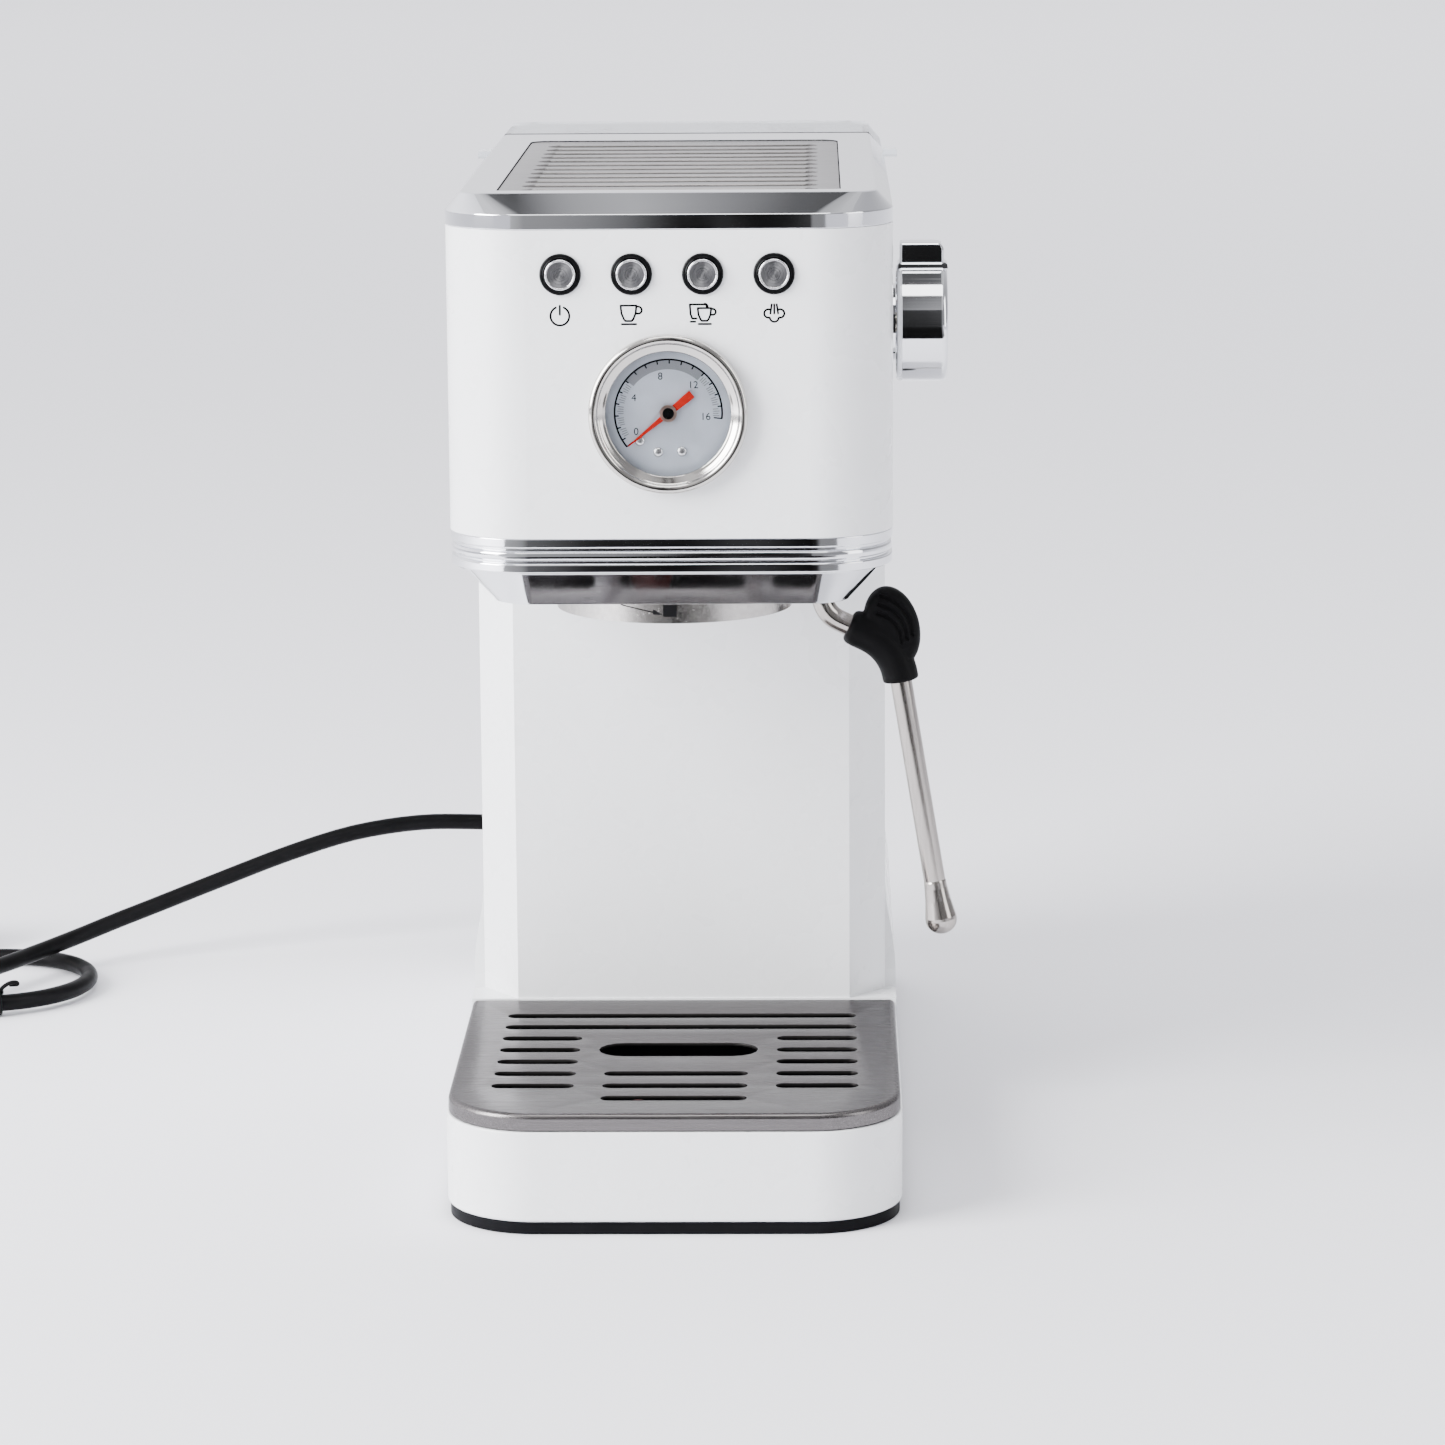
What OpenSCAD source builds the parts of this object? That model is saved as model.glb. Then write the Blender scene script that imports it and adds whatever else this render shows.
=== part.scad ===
// Slim pump espresso machine with a removable drip tray, a swivelling steam wand, a pressure gauge,
// a lift-out water tank behind the column and a mains lead folded into a tied hank.
// Origin: centre of the footprint on the standing surface. +Z up, the front faces -Y. Millimetres.

/* [Base and drip tray] */
// Width of the base
base_w = 140; // [132:1:150]
// Depth of the base from the tray's front to the tank's back
base_d = 332; // [326:1:344]
// Radius of the base's front corners
base_r = 28; // [20:1:34]
// Height of the black base plate's top
plate_top = 3.7; // [3:0.1:5]
// Top edge of the drip tray's painted wall
tray_top = 32.2; // [28:0.1:36]
// Depth of the drip tray
tray_d = 142; // [138:1:143]
// Top face of the drip grid
grid_top = 37.8; // [36:0.1:42]

/* [Column and tank shelf] */
// Width across the column
column_w = 133; // [128:1:134]
// Width of the column's flat front face
column_face_w = 109.2; // [96:0.2:112]
// Distance of the column's front face behind the base's front
column_front = 143; // [143:1:144]
// Depth of the chamfers beside the column's front face
column_chamfer = 15; // [8:1:20]
// Height of the shelf that the water tank stands on
shelf_z = 62; // [56:1:66]
// Wall thickness of the painted mouldings
wall = 2.5; // [2:0.1:3]

/* [Head] */
// Width of the head
head_w = 135; // [132:1:137]
// Distance of the head's front behind the base's front
head_front = 26.6; // [20:0.2:32]
// Distance of the head's back behind the base's front
head_back = 268; // [264:1:270]
// Radius of the head's front corners
head_r = 25; // [18:1:28]
// Underside of the painted head shell
head_z = 209.3; // [206:0.1:212]
// Top edge of the painted head shell
head_top = 301.9; // [298:0.1:304]
// Height of the chrome cover's upright band
band_h = 4.6; // [3:0.1:6]
// Top face of the chrome cover
cover_top = 312.1; // [310:0.1:314]

/* [Controls] */
// Spacing of the push buttons
button_pitch = 21.2; // [18:0.1:23]
// Height of the button centres
button_z = 288.8; // [284:0.1:290]
// Radius of a button cap
cap_r = 4.6; // [4:0.1:4.8]
// Radius of a button bezel
bezel_r = 6.2; // [5.8:0.1:8]
// Height of the gauge centre
gauge_z = 247.1; // [244:0.1:250]
// Outer radius of the gauge bezel
gauge_r = 23.9; // [23:0.1:26]
// Radius of the visible dial
dial_r = 18.8; // [16:0.1:19]
// Radius of the steam knob
knob_r = 18.3; // [15:0.1:20]
// Height of the steam knob's axis
knob_z = 267.6; // [264:0.1:270]

/* [Group head] */
// Distance of the group's axis behind the base's front
group_front = 77; // [74:1:84]
// Outer radius of the locking collar
collar_r = 36.5; // [35:0.1:38]
// Radius of the collar's bore, which takes the filter holder
collar_bore_r = 31; // [29:0.1:32]
// Underside of the locking collar
collar_z = 181; // [179:0.1:183]

/* [Steam wand] */
// Distance of the swivel axis to the right of the centre
wand_x = 45.9; // [44:0.1:48]
// Distance of the swivel axis behind the base's front
wand_front = 88; // [80:1:96]
// Radius of the steel tube
wand_r = 3.4; // [3:0.1:4]
// Lean of the straight tube away from the body, in degrees
wand_lean = 9.4; // [0:0.1:15]
// Length of the straight tube below the grip
wand_len = 66.7; // [50:0.1:80]

/* [Mains lead] */
// Diameter of the lead
cord_d = 6; // [5:0.1:7]
// Height at which the lead leaves the back wall
cord_z = 42; // [30:1:46]

/* [Hidden] */
$fn = 96;

white = "#f1f3f6";
black = "#17181a";
steel = "#b9bbbd";
chrome = "#d9dde2";
brass = "#b79a55";
clear = [0.85, 0.9, 0.95, 0.35];

// A place that is this far behind the base's front edge, and one this far behind its back
function front(distance) = distance - base_d / 2;
function behind(distance) = distance + base_d / 2;

gap = 0.3;                                  // clearance between pieces that lift or slide apart
fit = 0.06;                                 // radial clearance of a running fit
base_back = front(base_d);
back_r = 16;                                // radius of the base's back corners
column_y = front(column_front);
side_y = column_y + column_chamfer;         // where the chamfers meet the column's sides
column_back = front(head_back) - 2;
head_y = front(head_front);
head_end = front(head_back);
flare_low = 44;                             // heights between which the sides draw in
flare_high = 74;
trim_low = 198.6;                           // underside of the ribbed trim
skirt_low = 187;                            // underside of the chrome skirt
skirt_wall = 2;
group_y = front(group_front);
wand_y = front(wand_front);
knob_y = front(85);
knob_in = head_w / 2 + 1.5;
knob_out = knob_in + 15.6;
button_x = [-1.5, -0.5, 0.5, 1.5] * button_pitch;
tank_y0 = head_end + 0.8;
tank_y1 = base_back - 4.5;
tank_w = 126;
tank_top = 303;
lid_axis = [base_back - 1.7, 306];          // Y and Z of the lid's hinge
coupling_y = front(300);
cover_in = 10.4;                            // set-back of the cover's top face at the front
slot_half = 2.5;                            // half the width of a drain slot

// Rectangle about x = 0 with round front and back corners
module plan(w, y0, y1, rf, rb) {
    translate([-w / 2, y0 + rf]) square([w, y1 - y0 - rf - rb]);
    translate([-w / 2 + rf, y0]) square([w - 2 * rf, rf]);
    translate([-w / 2 + rb, y1 - rb]) square([w - 2 * rb, rb]);
    for (side = [-1, 1]) {
        translate([side * (w / 2 - rf), y0 + rf]) circle(r = rf);
        translate([side * (w / 2 - rb), y1 - rb]) circle(r = rb);
    }
}

module slab(w, y0, y1, rf, rb, z0, z1) {
    translate([0, 0, z0]) linear_extrude(z1 - z0) plan(w, y0, y1, rf, rb);
}

// Block between two corners
module block(low, high) {
    translate(low) cube(high - low);
}

// Upright cylinder from z0 to z1
module post(x, y, r, z0, z1) {
    translate([x, y, z0]) cylinder(r = r, h = z1 - z0);
}

// Cylinder that runs back from y0 to y1
module rod_y(x, z, r, y0, y1) {
    translate([x, y0, z]) rotate([-90, 0, 0]) cylinder(r = r, h = y1 - y0);
}

// Cylinder that runs to the right from x0 to x1
module rod_x(y, z, r, x0, x1) {
    translate([x0, y, z]) rotate([0, 90, 0]) cylinder(r = r, h = x1 - x0);
}

// Flat slot with round ends, from x0 to x1 at y
module slot(x0, x1, y, z0, z1) {
    block([x0 + slot_half, y - slot_half, z0], [x1 - slot_half, y + slot_half, z1]);
    for (x = [x0 + slot_half, x1 - slot_half]) post(x, y, slot_half, z0, z1);
}

// Tubes swept along a smooth curve through a route's points
function unit(v) = v / norm(v);
function curve_at(a, b, c, d, t) =
    (2 * b + (c - a) * t + (2 * a - 5 * b + 4 * c - d) * t * t + (3 * b - a - 3 * c + d) * t * t * t) / 2;
function route_point(p, i) =
    i < 0 ? 2 * p[0] - p[1] : i >= len(p) ? 2 * p[len(p) - 1] - p[len(p) - 2] : p[i];
function smooth(p, steps) = concat(
    [for (i = [0:len(p) - 2], k = [0:steps - 1])
        curve_at(route_point(p, i - 1), p[i], p[i + 1], route_point(p, i + 2), k / steps)],
    [p[len(p) - 1]]
);
function turned(v, a, b) = let (c = cross(a, b)) v + cross(c, v) + cross(c, cross(c, v)) / (1 + a * b);
function carried(t, n, i = 0) =
    i == len(t) - 1 ? [n] : concat([n], carried(t, turned(n, t[i], t[i + 1]), i + 1));

module tube(route, r, steps = 2, sides = 10) {
    path = smooth(route, steps);
    last = len(path) - 1;
    along = [for (i = [0:last]) unit(path[min(i + 1, last)] - path[max(i - 1, 0)])];
    first = unit(cross(along[0], abs(along[0].z) < 0.8 ? [0, 0, 1] : [1, 0, 0]));
    across = carried(along, first);
    points = [for (i = [0:last], k = [0:sides - 1])
        let (a = 360 * k / sides)
        path[i] + r * (cos(a) * across[i] + sin(a) * cross(along[i], across[i]))];
    skin = [for (i = [0:last - 1], k = [0:sides - 1])
        let (a = i * sides + k, b = i * sides + (k + 1) % sides)
        each [[a, b, b + sides], [a, b + sides, a + sides]]];
    caps = [[for (k = [sides - 1:-1:0]) k], [for (k = [0:sides - 1]) last * sides + k]];
    faces = [for (f = concat(skin, caps)) [for (k = [len(f) - 1:-1:0]) f[k]]];
    polyhedron(points = points, faces = faces);
}

// ---- base ----

foot_x = base_w / 2 - 18;
foot_y = [front(24), base_back - 22];
boss_x = base_w / 2 - 12;
boss_y = [front(168), base_back - 30];

module base_plate() color(black) difference() {
    slab(base_w - 1.6, front(0.8), base_back - 0.8, base_r - 0.8, back_r - 0.8, 0.2, plate_top);
    for (x = [-foot_x, foot_x], y = foot_y) post(x, y, 7.1, -1, 2);
    for (x = [-boss_x, boss_x], y = boss_y) {
        post(x, y, 3.3, -1, 2);
        post(x, y, 1.8, -1, plate_top + 1);
    }
}

module feet() color("#0e0e0f")
    for (x = [-foot_x, foot_x], y = foot_y) post(x, y, 7, 0, 2);

module base_screws() color(steel)
    for (x = [-boss_x, boss_x], y = boss_y) {
        post(x, y, 3, 0.6, 2);
        post(x, y, 1.5, 2, 15);
    }

// Outline of the right and left walls in X and Z: upright, drawn in over the flare, upright again
function eased(t) = t * t * (3 - 2 * t);
flare_steps = 10;
function side_points(inset, z0, z1) = [
    [base_w / 2 - inset, z0],
    for (k = [0:flare_steps])
        [base_w / 2 - inset - (base_w - column_w) / 2 * eased(k / flare_steps),
            flare_low + (flare_high - flare_low) * k / flare_steps],
    [column_w / 2 - inset, z1]
];

// The column and the base behind it, filled, without the part in front of its sides
module side_walls(inset, z0, z1, y0, y1) {
    right = side_points(inset, z0, z1);
    left = [for (k = [len(right) - 1:-1:0]) [-right[k].x, right[k].y]];
    translate([0, y1, 0]) rotate([90, 0, 0]) linear_extrude(y1 - y0) polygon(concat(right, left));
}

// Column outline in plan, with its chamfered front corners
module column_plan(inset) {
    face = column_face_w / 2 - inset * 0.7;
    side = column_w / 2 - inset;
    polygon([
        [-face, column_y + inset], [face, column_y + inset], [side, side_y + inset / 2],
        [side, column_back], [-side, column_back], [-side, side_y + inset / 2]
    ]);
}

cord_x = -42;

module body_shell() color(white) difference() {
    union() {
        difference() {
            intersection() {
                side_walls(0, plate_top, trim_low - 0.2, side_y, base_back);
                slab(base_w, side_y - 20, base_back, 1, back_r, plate_top, trim_low);
            }
            block([-base_w, column_back, shelf_z], [base_w, base_back + 1, trim_low]);
        }
        block([-base_w / 2, front(tray_d + 0.5), plate_top], [base_w / 2, side_y, grid_top]);
        translate([0, 0, grid_top - 1])
            linear_extrude(trim_low - 0.2 - grid_top + 1) column_plan(0);
        slab(tank_w + 7, column_back, base_back, 2, back_r, shelf_z - 1, shelf_z + 2.5);
    }
    // hollow column, open at its top and towards the rear panel
    translate([0, 0, plate_top - 1]) linear_extrude(trim_low) column_plan(wall);
    block([-column_w / 2 + wall, column_back - 1, shelf_z + 0.2],
        [column_w / 2 - wall, column_back + 1, trim_low]);
    // hollow under the tank shelf, open at the bottom
    slab(base_w - 2 * wall, column_back - 12, base_back - wall, 1, back_r - wall,
        plate_top - 1, flare_low - 1);
    slab(column_w - 2 * wall, column_back - 12, base_back - wall, 1, back_r - wall,
        plate_top - 1, shelf_z - 3);
    block([-base_w / 2 + wall, side_y + 3, plate_top - 1],
        [base_w / 2 - wall, column_back, flare_low - 4]);
    // recess that the tank stands in
    slab(tank_w + 2 * gap, column_back + 1, base_back - 4.2, 1, 12, shelf_z, shelf_z + 3);
    post(0, coupling_y, 13, shelf_z - 4, shelf_z + 1);
    rod_y(cord_x, cord_z, 5.2, base_back - 4, base_back + 1);
}

// Posts inside the base, webbed to its walls, that take the base screws
module shell_posts() {
    for (side = [-1, 1], y = boss_y) difference() {
        union() {
            post(side * boss_x, y, 4.2, plate_top, 18);
            block([side > 0 ? boss_x : 0.3 - base_w / 2 + wall / 2, y - 1.5, plate_top],
                [side > 0 ? base_w / 2 - wall / 2 - 0.3 : -boss_x, y + 1.5, 18]);
        }
        post(side * boss_x, y, 1.5, plate_top - 1, 15);
    }
}

panel_x = column_w / 2 - 7.5;
panel_z = [84, 184, 226, 288];

// Pair of lugs that reach in from the side walls and take the panel screws
module panel_lugs(z, reach) {
    for (side = [-1, 1]) difference() {
        block([side > 0 ? panel_x - 4 : -reach, column_back - 9, z - 4],
            [side > 0 ? reach : 4 - panel_x, column_back - 2.6, z + 4]);
        rod_y(side * panel_x, z, 1.4, column_back - 8, column_back);
    }
}

module rear_panel() color("#e6e8eb") difference() {
    block([-column_w / 2 + wall + 0.2, column_back - 2.4, shelf_z + 3.2],
        [column_w / 2 - wall - 0.2, column_back - 0.2, head_top - 0.4]);
    for (side = [-1, 1], z = panel_z) rod_y(side * panel_x, z, 1.7, column_back - 3, column_back);
}

module panel_screws() color(steel)
    for (side = [-1, 1], z = panel_z) {
        rod_y(side * panel_x, z, 1.4, column_back - 8, column_back - 0.2);
        rod_y(side * panel_x, z, 2.8, column_back - 0.2, column_back + 0.4);
    }

// ---- head ----

module head_shell() color(white) {
    difference() {
        slab(head_w, head_y, head_end - 0.5, head_r, 1, head_z, head_top);
        slab(head_w - 2 * wall, head_y + wall, head_end + 3, head_r - wall, 1, head_z - 1, head_top + 1);
        for (x = button_x) rod_y(x, button_z, 5.3, head_y - 1, head_y + wall + 1);
        rod_y(0, gauge_z, 21, head_y - 1, head_y + wall + 1);
        rod_x(knob_y, knob_z, 6.2, head_w / 2 - wall - 1, head_w / 2 + 1);
    }
    for (z = [panel_z[2], panel_z[3]]) panel_lugs(z, (head_w - wall) / 2);
}

module trim_ring(inset, z0, z1) {
    slab(head_w - 2 * inset, head_y + inset, head_end - 0.5, head_r - inset, 1, z0, z1);
}

module lower_trim() color(chrome) difference() {
    union() {
        trim_ring(0.1, 206.2, head_z);
        trim_ring(1.3, trim_low, 206.3);
        trim_ring(0.4, 202.4, 205.2);
        trim_ring(0.2, trim_low, 201.6);
    }
    slab(head_w - 6.4, head_y + 3.2, head_end + 3, head_r - 3.2, 1, trim_low - 1, head_z + 1);
}

// Chrome underside of the head: its sides slope in to a flat floor
skirt_top = trim_low - 0.2;

module skirt_form(inset, floor_z, top_z) {
    hull() {
        slab(128 - 2 * inset, head_y + 3.6 + inset, side_y + 4 - inset,
            21.5 - inset, 1, skirt_top - 0.6, top_z);
        slab(108 - 2 * inset, head_y + 13.8 + inset, side_y + 4 - inset, 12 - inset / 2, 1,
            floor_z, floor_z + 0.4);
    }
}

module head_skirt() color(chrome) difference() {
    skirt_form(0, skirt_low, skirt_top);
    skirt_form(skirt_wall, skirt_low + skirt_wall, skirt_top + 1);
    translate([0, 0, skirt_low - 1]) linear_extrude(20) offset(0.2) column_plan(0);
    post(0, group_y, collar_r + 0.4, skirt_low - 1, skirt_low + 5);
    post(wand_x, wand_y, wand_r + 1.4, skirt_low - 1, skirt_low + 5);
}

plate_y0 = head_y + 19.4;
plate_y1 = front(240);
plate_w = 103.4;

module cover_form(inset, low) {
    hull() {
        slab(head_w - 2 * inset, head_y + inset, head_end - inset, head_r - inset, 0.6,
            low, head_top + band_h - inset / 2);
        slab(125 - 2 * inset, head_y + cover_in + inset / 2, head_end - inset, 9, 0.6,
            cover_top - 0.2 - inset, cover_top - inset);
    }
}

module top_cover() color(chrome) difference() {
    cover_form(0, head_top);
    cover_form(2, head_top - 1);
    slab(plate_w, plate_y0, plate_y1, 2, 7, cover_top - 1.8, cover_top + 1);
    slab(plate_w - 8, plate_y0 + 4, plate_y1 - 4, 2, 4, head_top - 1, cover_top + 1);
}

groove_y0 = front(48.9);
groove_pitch = 15.33;
groove_count = 12;

module cup_plate() color(steel) difference() {
    slab(plate_w - 0.4, plate_y0 + 0.2, plate_y1 - 0.2, 1.8, 6.8, cover_top - 1.8, cover_top + 0.1);
    // scooped grooves, each the underside of a shallow cylinder
    for (k = [0:groove_count - 1]) translate([0, groove_y0 + k * groove_pitch, cover_top + 6.6])
        rotate([0, 90, 0]) cylinder(r = 7.6, h = 90, center = true);
}

module button_bezels() color(black) for (x = button_x) difference() {
    union() {
        rod_y(x, button_z, bezel_r, head_y - 1.1, head_y);
        rod_y(x, button_z, 5.2, head_y, head_y + 4);
    }
    rod_y(x, button_z, cap_r + fit, head_y - 2, head_y + 5);
}

module push_button(index, tint) color(tint) {
    rod_y(button_x[index], button_z, cap_r, head_y - 2.2, head_y + 3.6);
    rod_y(button_x[index], button_z, 2, head_y + 3.6, head_y + 6.4);
}

module power_button() push_button(0, steel);
module one_cup_button() push_button(1, steel);
module two_cup_button() push_button(2, steel);
module steam_button() push_button(3, steel);

module control_board() color("#1f6b3a") {
    block([-46, head_y + 12, button_z - 9], [46, head_y + 13.6, button_z + 9]);
    for (x = button_x) {
        block([x - 3, head_y + 9, button_z - 3], [x + 3, head_y + 12, button_z + 3]);
        rod_y(x, button_z, 1.7, head_y + 7.9, head_y + 9);
    }
    block([-20, head_y + 13.6, button_z - 6], [16, head_y + 18, button_z + 5]);
    block([24, head_y + 13.6, button_z - 5], [40, head_y + 24, button_z + 6]);
}

// ---- gauge ----

dial_y = head_y + 1.4;

module gauge_case() color("#3a3c40") difference() {
    union() {
        rod_y(0, gauge_z, 20.6, head_y + 0.1, head_y + 23);
        rod_y(0, gauge_z, 5, head_y + 23, head_y + 30);
    }
    rod_y(0, gauge_z, 19.2, head_y - 1, head_y + 21);
}

module gauge_dial() color("#dfe2e8") difference() {
    rod_y(0, gauge_z, 19.1, dial_y, dial_y + 0.8);
    rod_y(0, gauge_z, 1 + fit, dial_y - 1, dial_y + 2);
}

screw_spots = [[-8.6, -8.3], [-3, -11.6], [4.05, -11.5]];

module dial_screws() color(steel)
    for (s = screw_spots) rod_y(s.x, gauge_z + s.y, 1.6, dial_y - 0.7, dial_y);

roll_r = 1.4;                               // radius of the bezel's rolled outer edge
roll_z = 2.6;                               // how far its centre stands out

module gauge_bezel() color(chrome)
    translate([0, head_y, gauge_z]) rotate([90, 0, 0]) rotate_extrude() {
        translate([gauge_r - roll_r, roll_z]) circle(r = roll_r);
        polygon([[dial_r, 0], [gauge_r, 0], [gauge_r, roll_z],
            [gauge_r - 2 * roll_r, roll_z], [dial_r, 1.7]]);
    }

module gauge_glass() color(clear) rod_y(0, gauge_z, dial_r - 0.1, head_y - 1.5, head_y - 0.5);

needle_y = head_y + 0.2;
needle_angle = 219.3;                       // from +X, counter-clockwise seen from the front

module gauge_needle() color("#d5231d") difference() {
    union() {
        translate([0, needle_y + 0.4, gauge_z]) rotate([90, 0, 0]) rotate(needle_angle)
            linear_extrude(0.4) polygon([[0, 0.9], [15.6, 0.12], [15.6, -0.12], [0, -0.9],
                [-7, -1.25], [-9.2, -1.25], [-9.2, 1.25], [-7, 1.25]]);
        rod_y(0, gauge_z, 2, needle_y, needle_y + 0.4);
    }
    rod_y(0, gauge_z, 1, needle_y - 1, needle_y + 1);
}

module needle_hub() color("#5a4f3a") {
    rod_y(0, gauge_z, 2.6, needle_y - 0.4, needle_y);
    rod_y(0, gauge_z, 1, needle_y, head_y + 8);
}

// ---- group head ----

land_h = 6;
ear_slot = 20;                              // width of the entry slots for the holder's ears
chamber_r = collar_bore_r + 3.6;

module group_collar() color(steel) translate([0, group_y, 0]) difference() {
    post(0, 0, collar_r, collar_z, collar_z + 15);
    post(0, 0, collar_bore_r, collar_z - 1, collar_z + land_h + 1);
    post(0, 0, chamber_r, collar_z + land_h, collar_z + 12);
    post(0, 0, 26, collar_z + 10, collar_z + 16);
    intersection() {
        post(0, 0, chamber_r, collar_z - 1, collar_z + land_h + 1);
        block([-40, -ear_slot / 2, collar_z - 2], [40, ear_slot / 2, collar_z + land_h + 2]);
    }
}

module brew_head() color("#8d9094") translate([0, group_y, 0]) difference() {
    union() {
        post(0, 0, 25.6, collar_z + 9, 206);
        post(0, 0, 38, collar_z + 15, collar_z + 18);
    }
    post(0, 0, 2, collar_z, collar_z + 16);
}

module group_gasket() color("#9a3b2a") translate([0, group_y, 0]) difference() {
    post(0, 0, 30.4, collar_z + 6.4, collar_z + 12);
    post(0, 0, 25.8, collar_z, collar_z + 20);
}

module shower_screen() color(steel) translate([0, group_y, 0]) difference() {
    post(0, 0, 25.4, collar_z + 7.6, collar_z + 8.8);
    post(0, 0, 2, collar_z, collar_z + 20);
    for (ring = [1:3], k = [0:6 * ring - 1]) rotate(60 * k / ring)
        post(6.5 * ring, 0, 0.8, collar_z, collar_z + 20);
}

module screen_screw() color(steel) translate([0, group_y, 0]) {
    post(0, 0, 4, collar_z + 6.2, collar_z + 7.6);
    post(0, 0, 1.9, collar_z + 7.6, collar_z + 15);
}

// ---- water and steam inside ----

module thermoblock() color("#a7aaae") {
    block([-36, front(66), 206.2], [36, front(136), 240]);
    for (side = [-1, 1]) rod_y(side * 24, 240, 6, front(70), front(132));
    post(0, front(120), 8, 240, 254);
}

module pump() color("#c9cbce") {
    post(0, front(206), 22, 96, 132);
    block([-24, front(184), 132], [24, front(228), 136]);
    block([-24, front(184), 92], [24, front(228), 96]);
    post(0, front(206), 8, 136, 168);
    post(0, front(206), 5, 80, 92);
}

module pump_mounts() color(black) for (z = [100, 124], side = [-1, 1])
    translate([side * 27.2, front(206), z]) cube([10, 18, 6], center = true);

module relief_valve() color(brass) {
    post(0, front(206), 10, 168, 182);
    rod_x(front(206), 175, 4, 2, 24);
}

module tank_coupling() color(black) difference() {
    union() {
        post(0, coupling_y, 12.6, shelf_z - 3, shelf_z);
        post(0, coupling_y, 10, 40, shelf_z - 3);
    }
    post(0, coupling_y, 7.5, 46, shelf_z + 1);
    post(0, coupling_y, 2, 39, 50);
}

inlet_route = [[0, coupling_y, 39.8], [0, coupling_y, 32], [0, front(290), 22], [0, front(270), 18],
    [0, front(240), 18], [0, front(218), 24], [0, front(207), 42], [0, front(206), 62],
    [0, front(206), 79.8]];
pressure_route = [[24.3, front(206), 175], [30, front(204), 176], [36, front(196), 184],
    [38, front(180), 198], [30, front(164), 214], [10, front(152), 223], [0, front(144), 224],
    [0, front(136.3), 224]];
steam_route = [[36.3, front(100), 224], [40, front(100), 224], [45, front(96), 231],
    [44, front(88), 244], [44, front(85), 252], [44, front(85), 259.6]];

module inlet_hose() color("#e8e8e8") tube(inlet_route, 3, 2);
module pressure_hose() color("#f0f0f0") tube(pressure_route, 2.5, 2);
module steam_pipe() color("#b87333") tube(steam_route, 2, 2);

module steam_valve() color(brass) difference() {
    union() {
        rod_x(knob_y, knob_z, 8, 36, 56);
        rod_x(knob_y, knob_z, 10, 56, head_w / 2 - wall);
    }
    rod_x(knob_y, knob_z, 3 + fit, 40, head_w / 2 + 1);
}

module valve_escutcheon() color(chrome) difference() {
    rod_x(knob_y, knob_z, 12, head_w / 2, head_w / 2 + 1.1);
    rod_x(knob_y, knob_z, 6.2, head_w / 2 - 1, head_w / 2 + 2);
}

module steam_knob() color(chrome) difference() {
    union() {
        rod_x(knob_y, knob_z, knob_r, knob_in, knob_out);
        block([knob_in, knob_y - 5, knob_z], [knob_out - 1, knob_y + 5, knob_z + 25]);
    }
    rod_x(knob_y, knob_z, 3, knob_in - 1, knob_in + 10);
}

module valve_stem() color(brass) rod_x(knob_y, knob_z, 3, 42, knob_in + 10);

// ---- steam wand: down, out to the right, then down again with a lean ----

bend_1 = 9;                                 // centreline radius of the upper bend
sweep_1 = 65;
bend_2 = 18;                                // centreline radius of the lower bend
sweep_2 = 90 - 25 - wand_lean + (65 - sweep_1);
link = 10;                                  // straight run between the bends
wand_z = 181.7;                             // where the upper bend starts

// Places along the wand, in X and Z
low_1 = [wand_x + bend_1 - bend_1 * cos(sweep_1), wand_z - bend_1 * sin(sweep_1)];
slope_1 = sweep_1 - 90;                     // direction after the upper bend, degrees from +X
low_2 = low_1 + link * [cos(slope_1), sin(slope_1)];
slope_2 = slope_1 - sweep_2;
centre_2 = low_2 + bend_2 * [sin(slope_1), -cos(slope_1)];
low_3 = centre_2 - bend_2 * [sin(slope_2), -cos(slope_2)];
low_4 = low_3 + wand_len * [cos(slope_2), sin(slope_2)];

// Points of an arc in the plane of the wand
function arc_points(centre, bend, from, to, n) = [for (k = [0:n])
    let (a = from + (to - from) * k / n) [centre.x + bend * cos(a), wand_y, centre.y + bend * sin(a)]];

wand_line = concat(
    [[wand_x, wand_y, 192]],
    arc_points([wand_x + bend_1, wand_z], bend_1, 180, 180 + sweep_1, 6),
    arc_points(centre_2, bend_2, slope_1 + 90, slope_2 + 90, 6),
    [[low_4.x, wand_y, low_4.y]]
);

module wand_tube() color(steel) tube(wand_line, wand_r, 1, 20);

module wand_ball() color(steel) difference() {
    translate([wand_x, wand_y, 197]) sphere(r = 6);
    post(wand_x, wand_y, wand_r, 185, 192);
}

module wand_socket() color(brass) difference() {
    union() {
        post(wand_x, wand_y, 5.8, skirt_low + skirt_wall, 192);
        post(wand_x, wand_y, 7.6, 191.6, 205);
    }
    translate([wand_x, wand_y, 197]) sphere(r = 6 + fit);
    post(wand_x, wand_y, wand_r + 1.2, skirt_low, 197);
}

grip_r = 5.7;
pad_y = 7.4;                                // thickness of the grip's thumb pad

module wand_grip() color(black) {
    tube(concat(
        [[low_1.x + 3.4 * cos(slope_1), wand_y, low_1.y + 3.4 * sin(slope_1)]],
        arc_points(centre_2, bend_2, slope_1 + 90, slope_2 + 90, 6),
        [[low_3.x + 1.5 * cos(slope_2), wand_y, low_3.y + 1.5 * sin(slope_2)]]
    ), grip_r, 1, 20);
    translate([0, wand_y + pad_y / 2, 0]) rotate([90, 0, 0]) linear_extrude(pad_y) hull() {
        translate(low_2 + [6.8, 8.1]) circle(r = 7.3);
        translate(low_2 + [9.8, -3.6]) circle(r = 6.5);
    }
}

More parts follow.
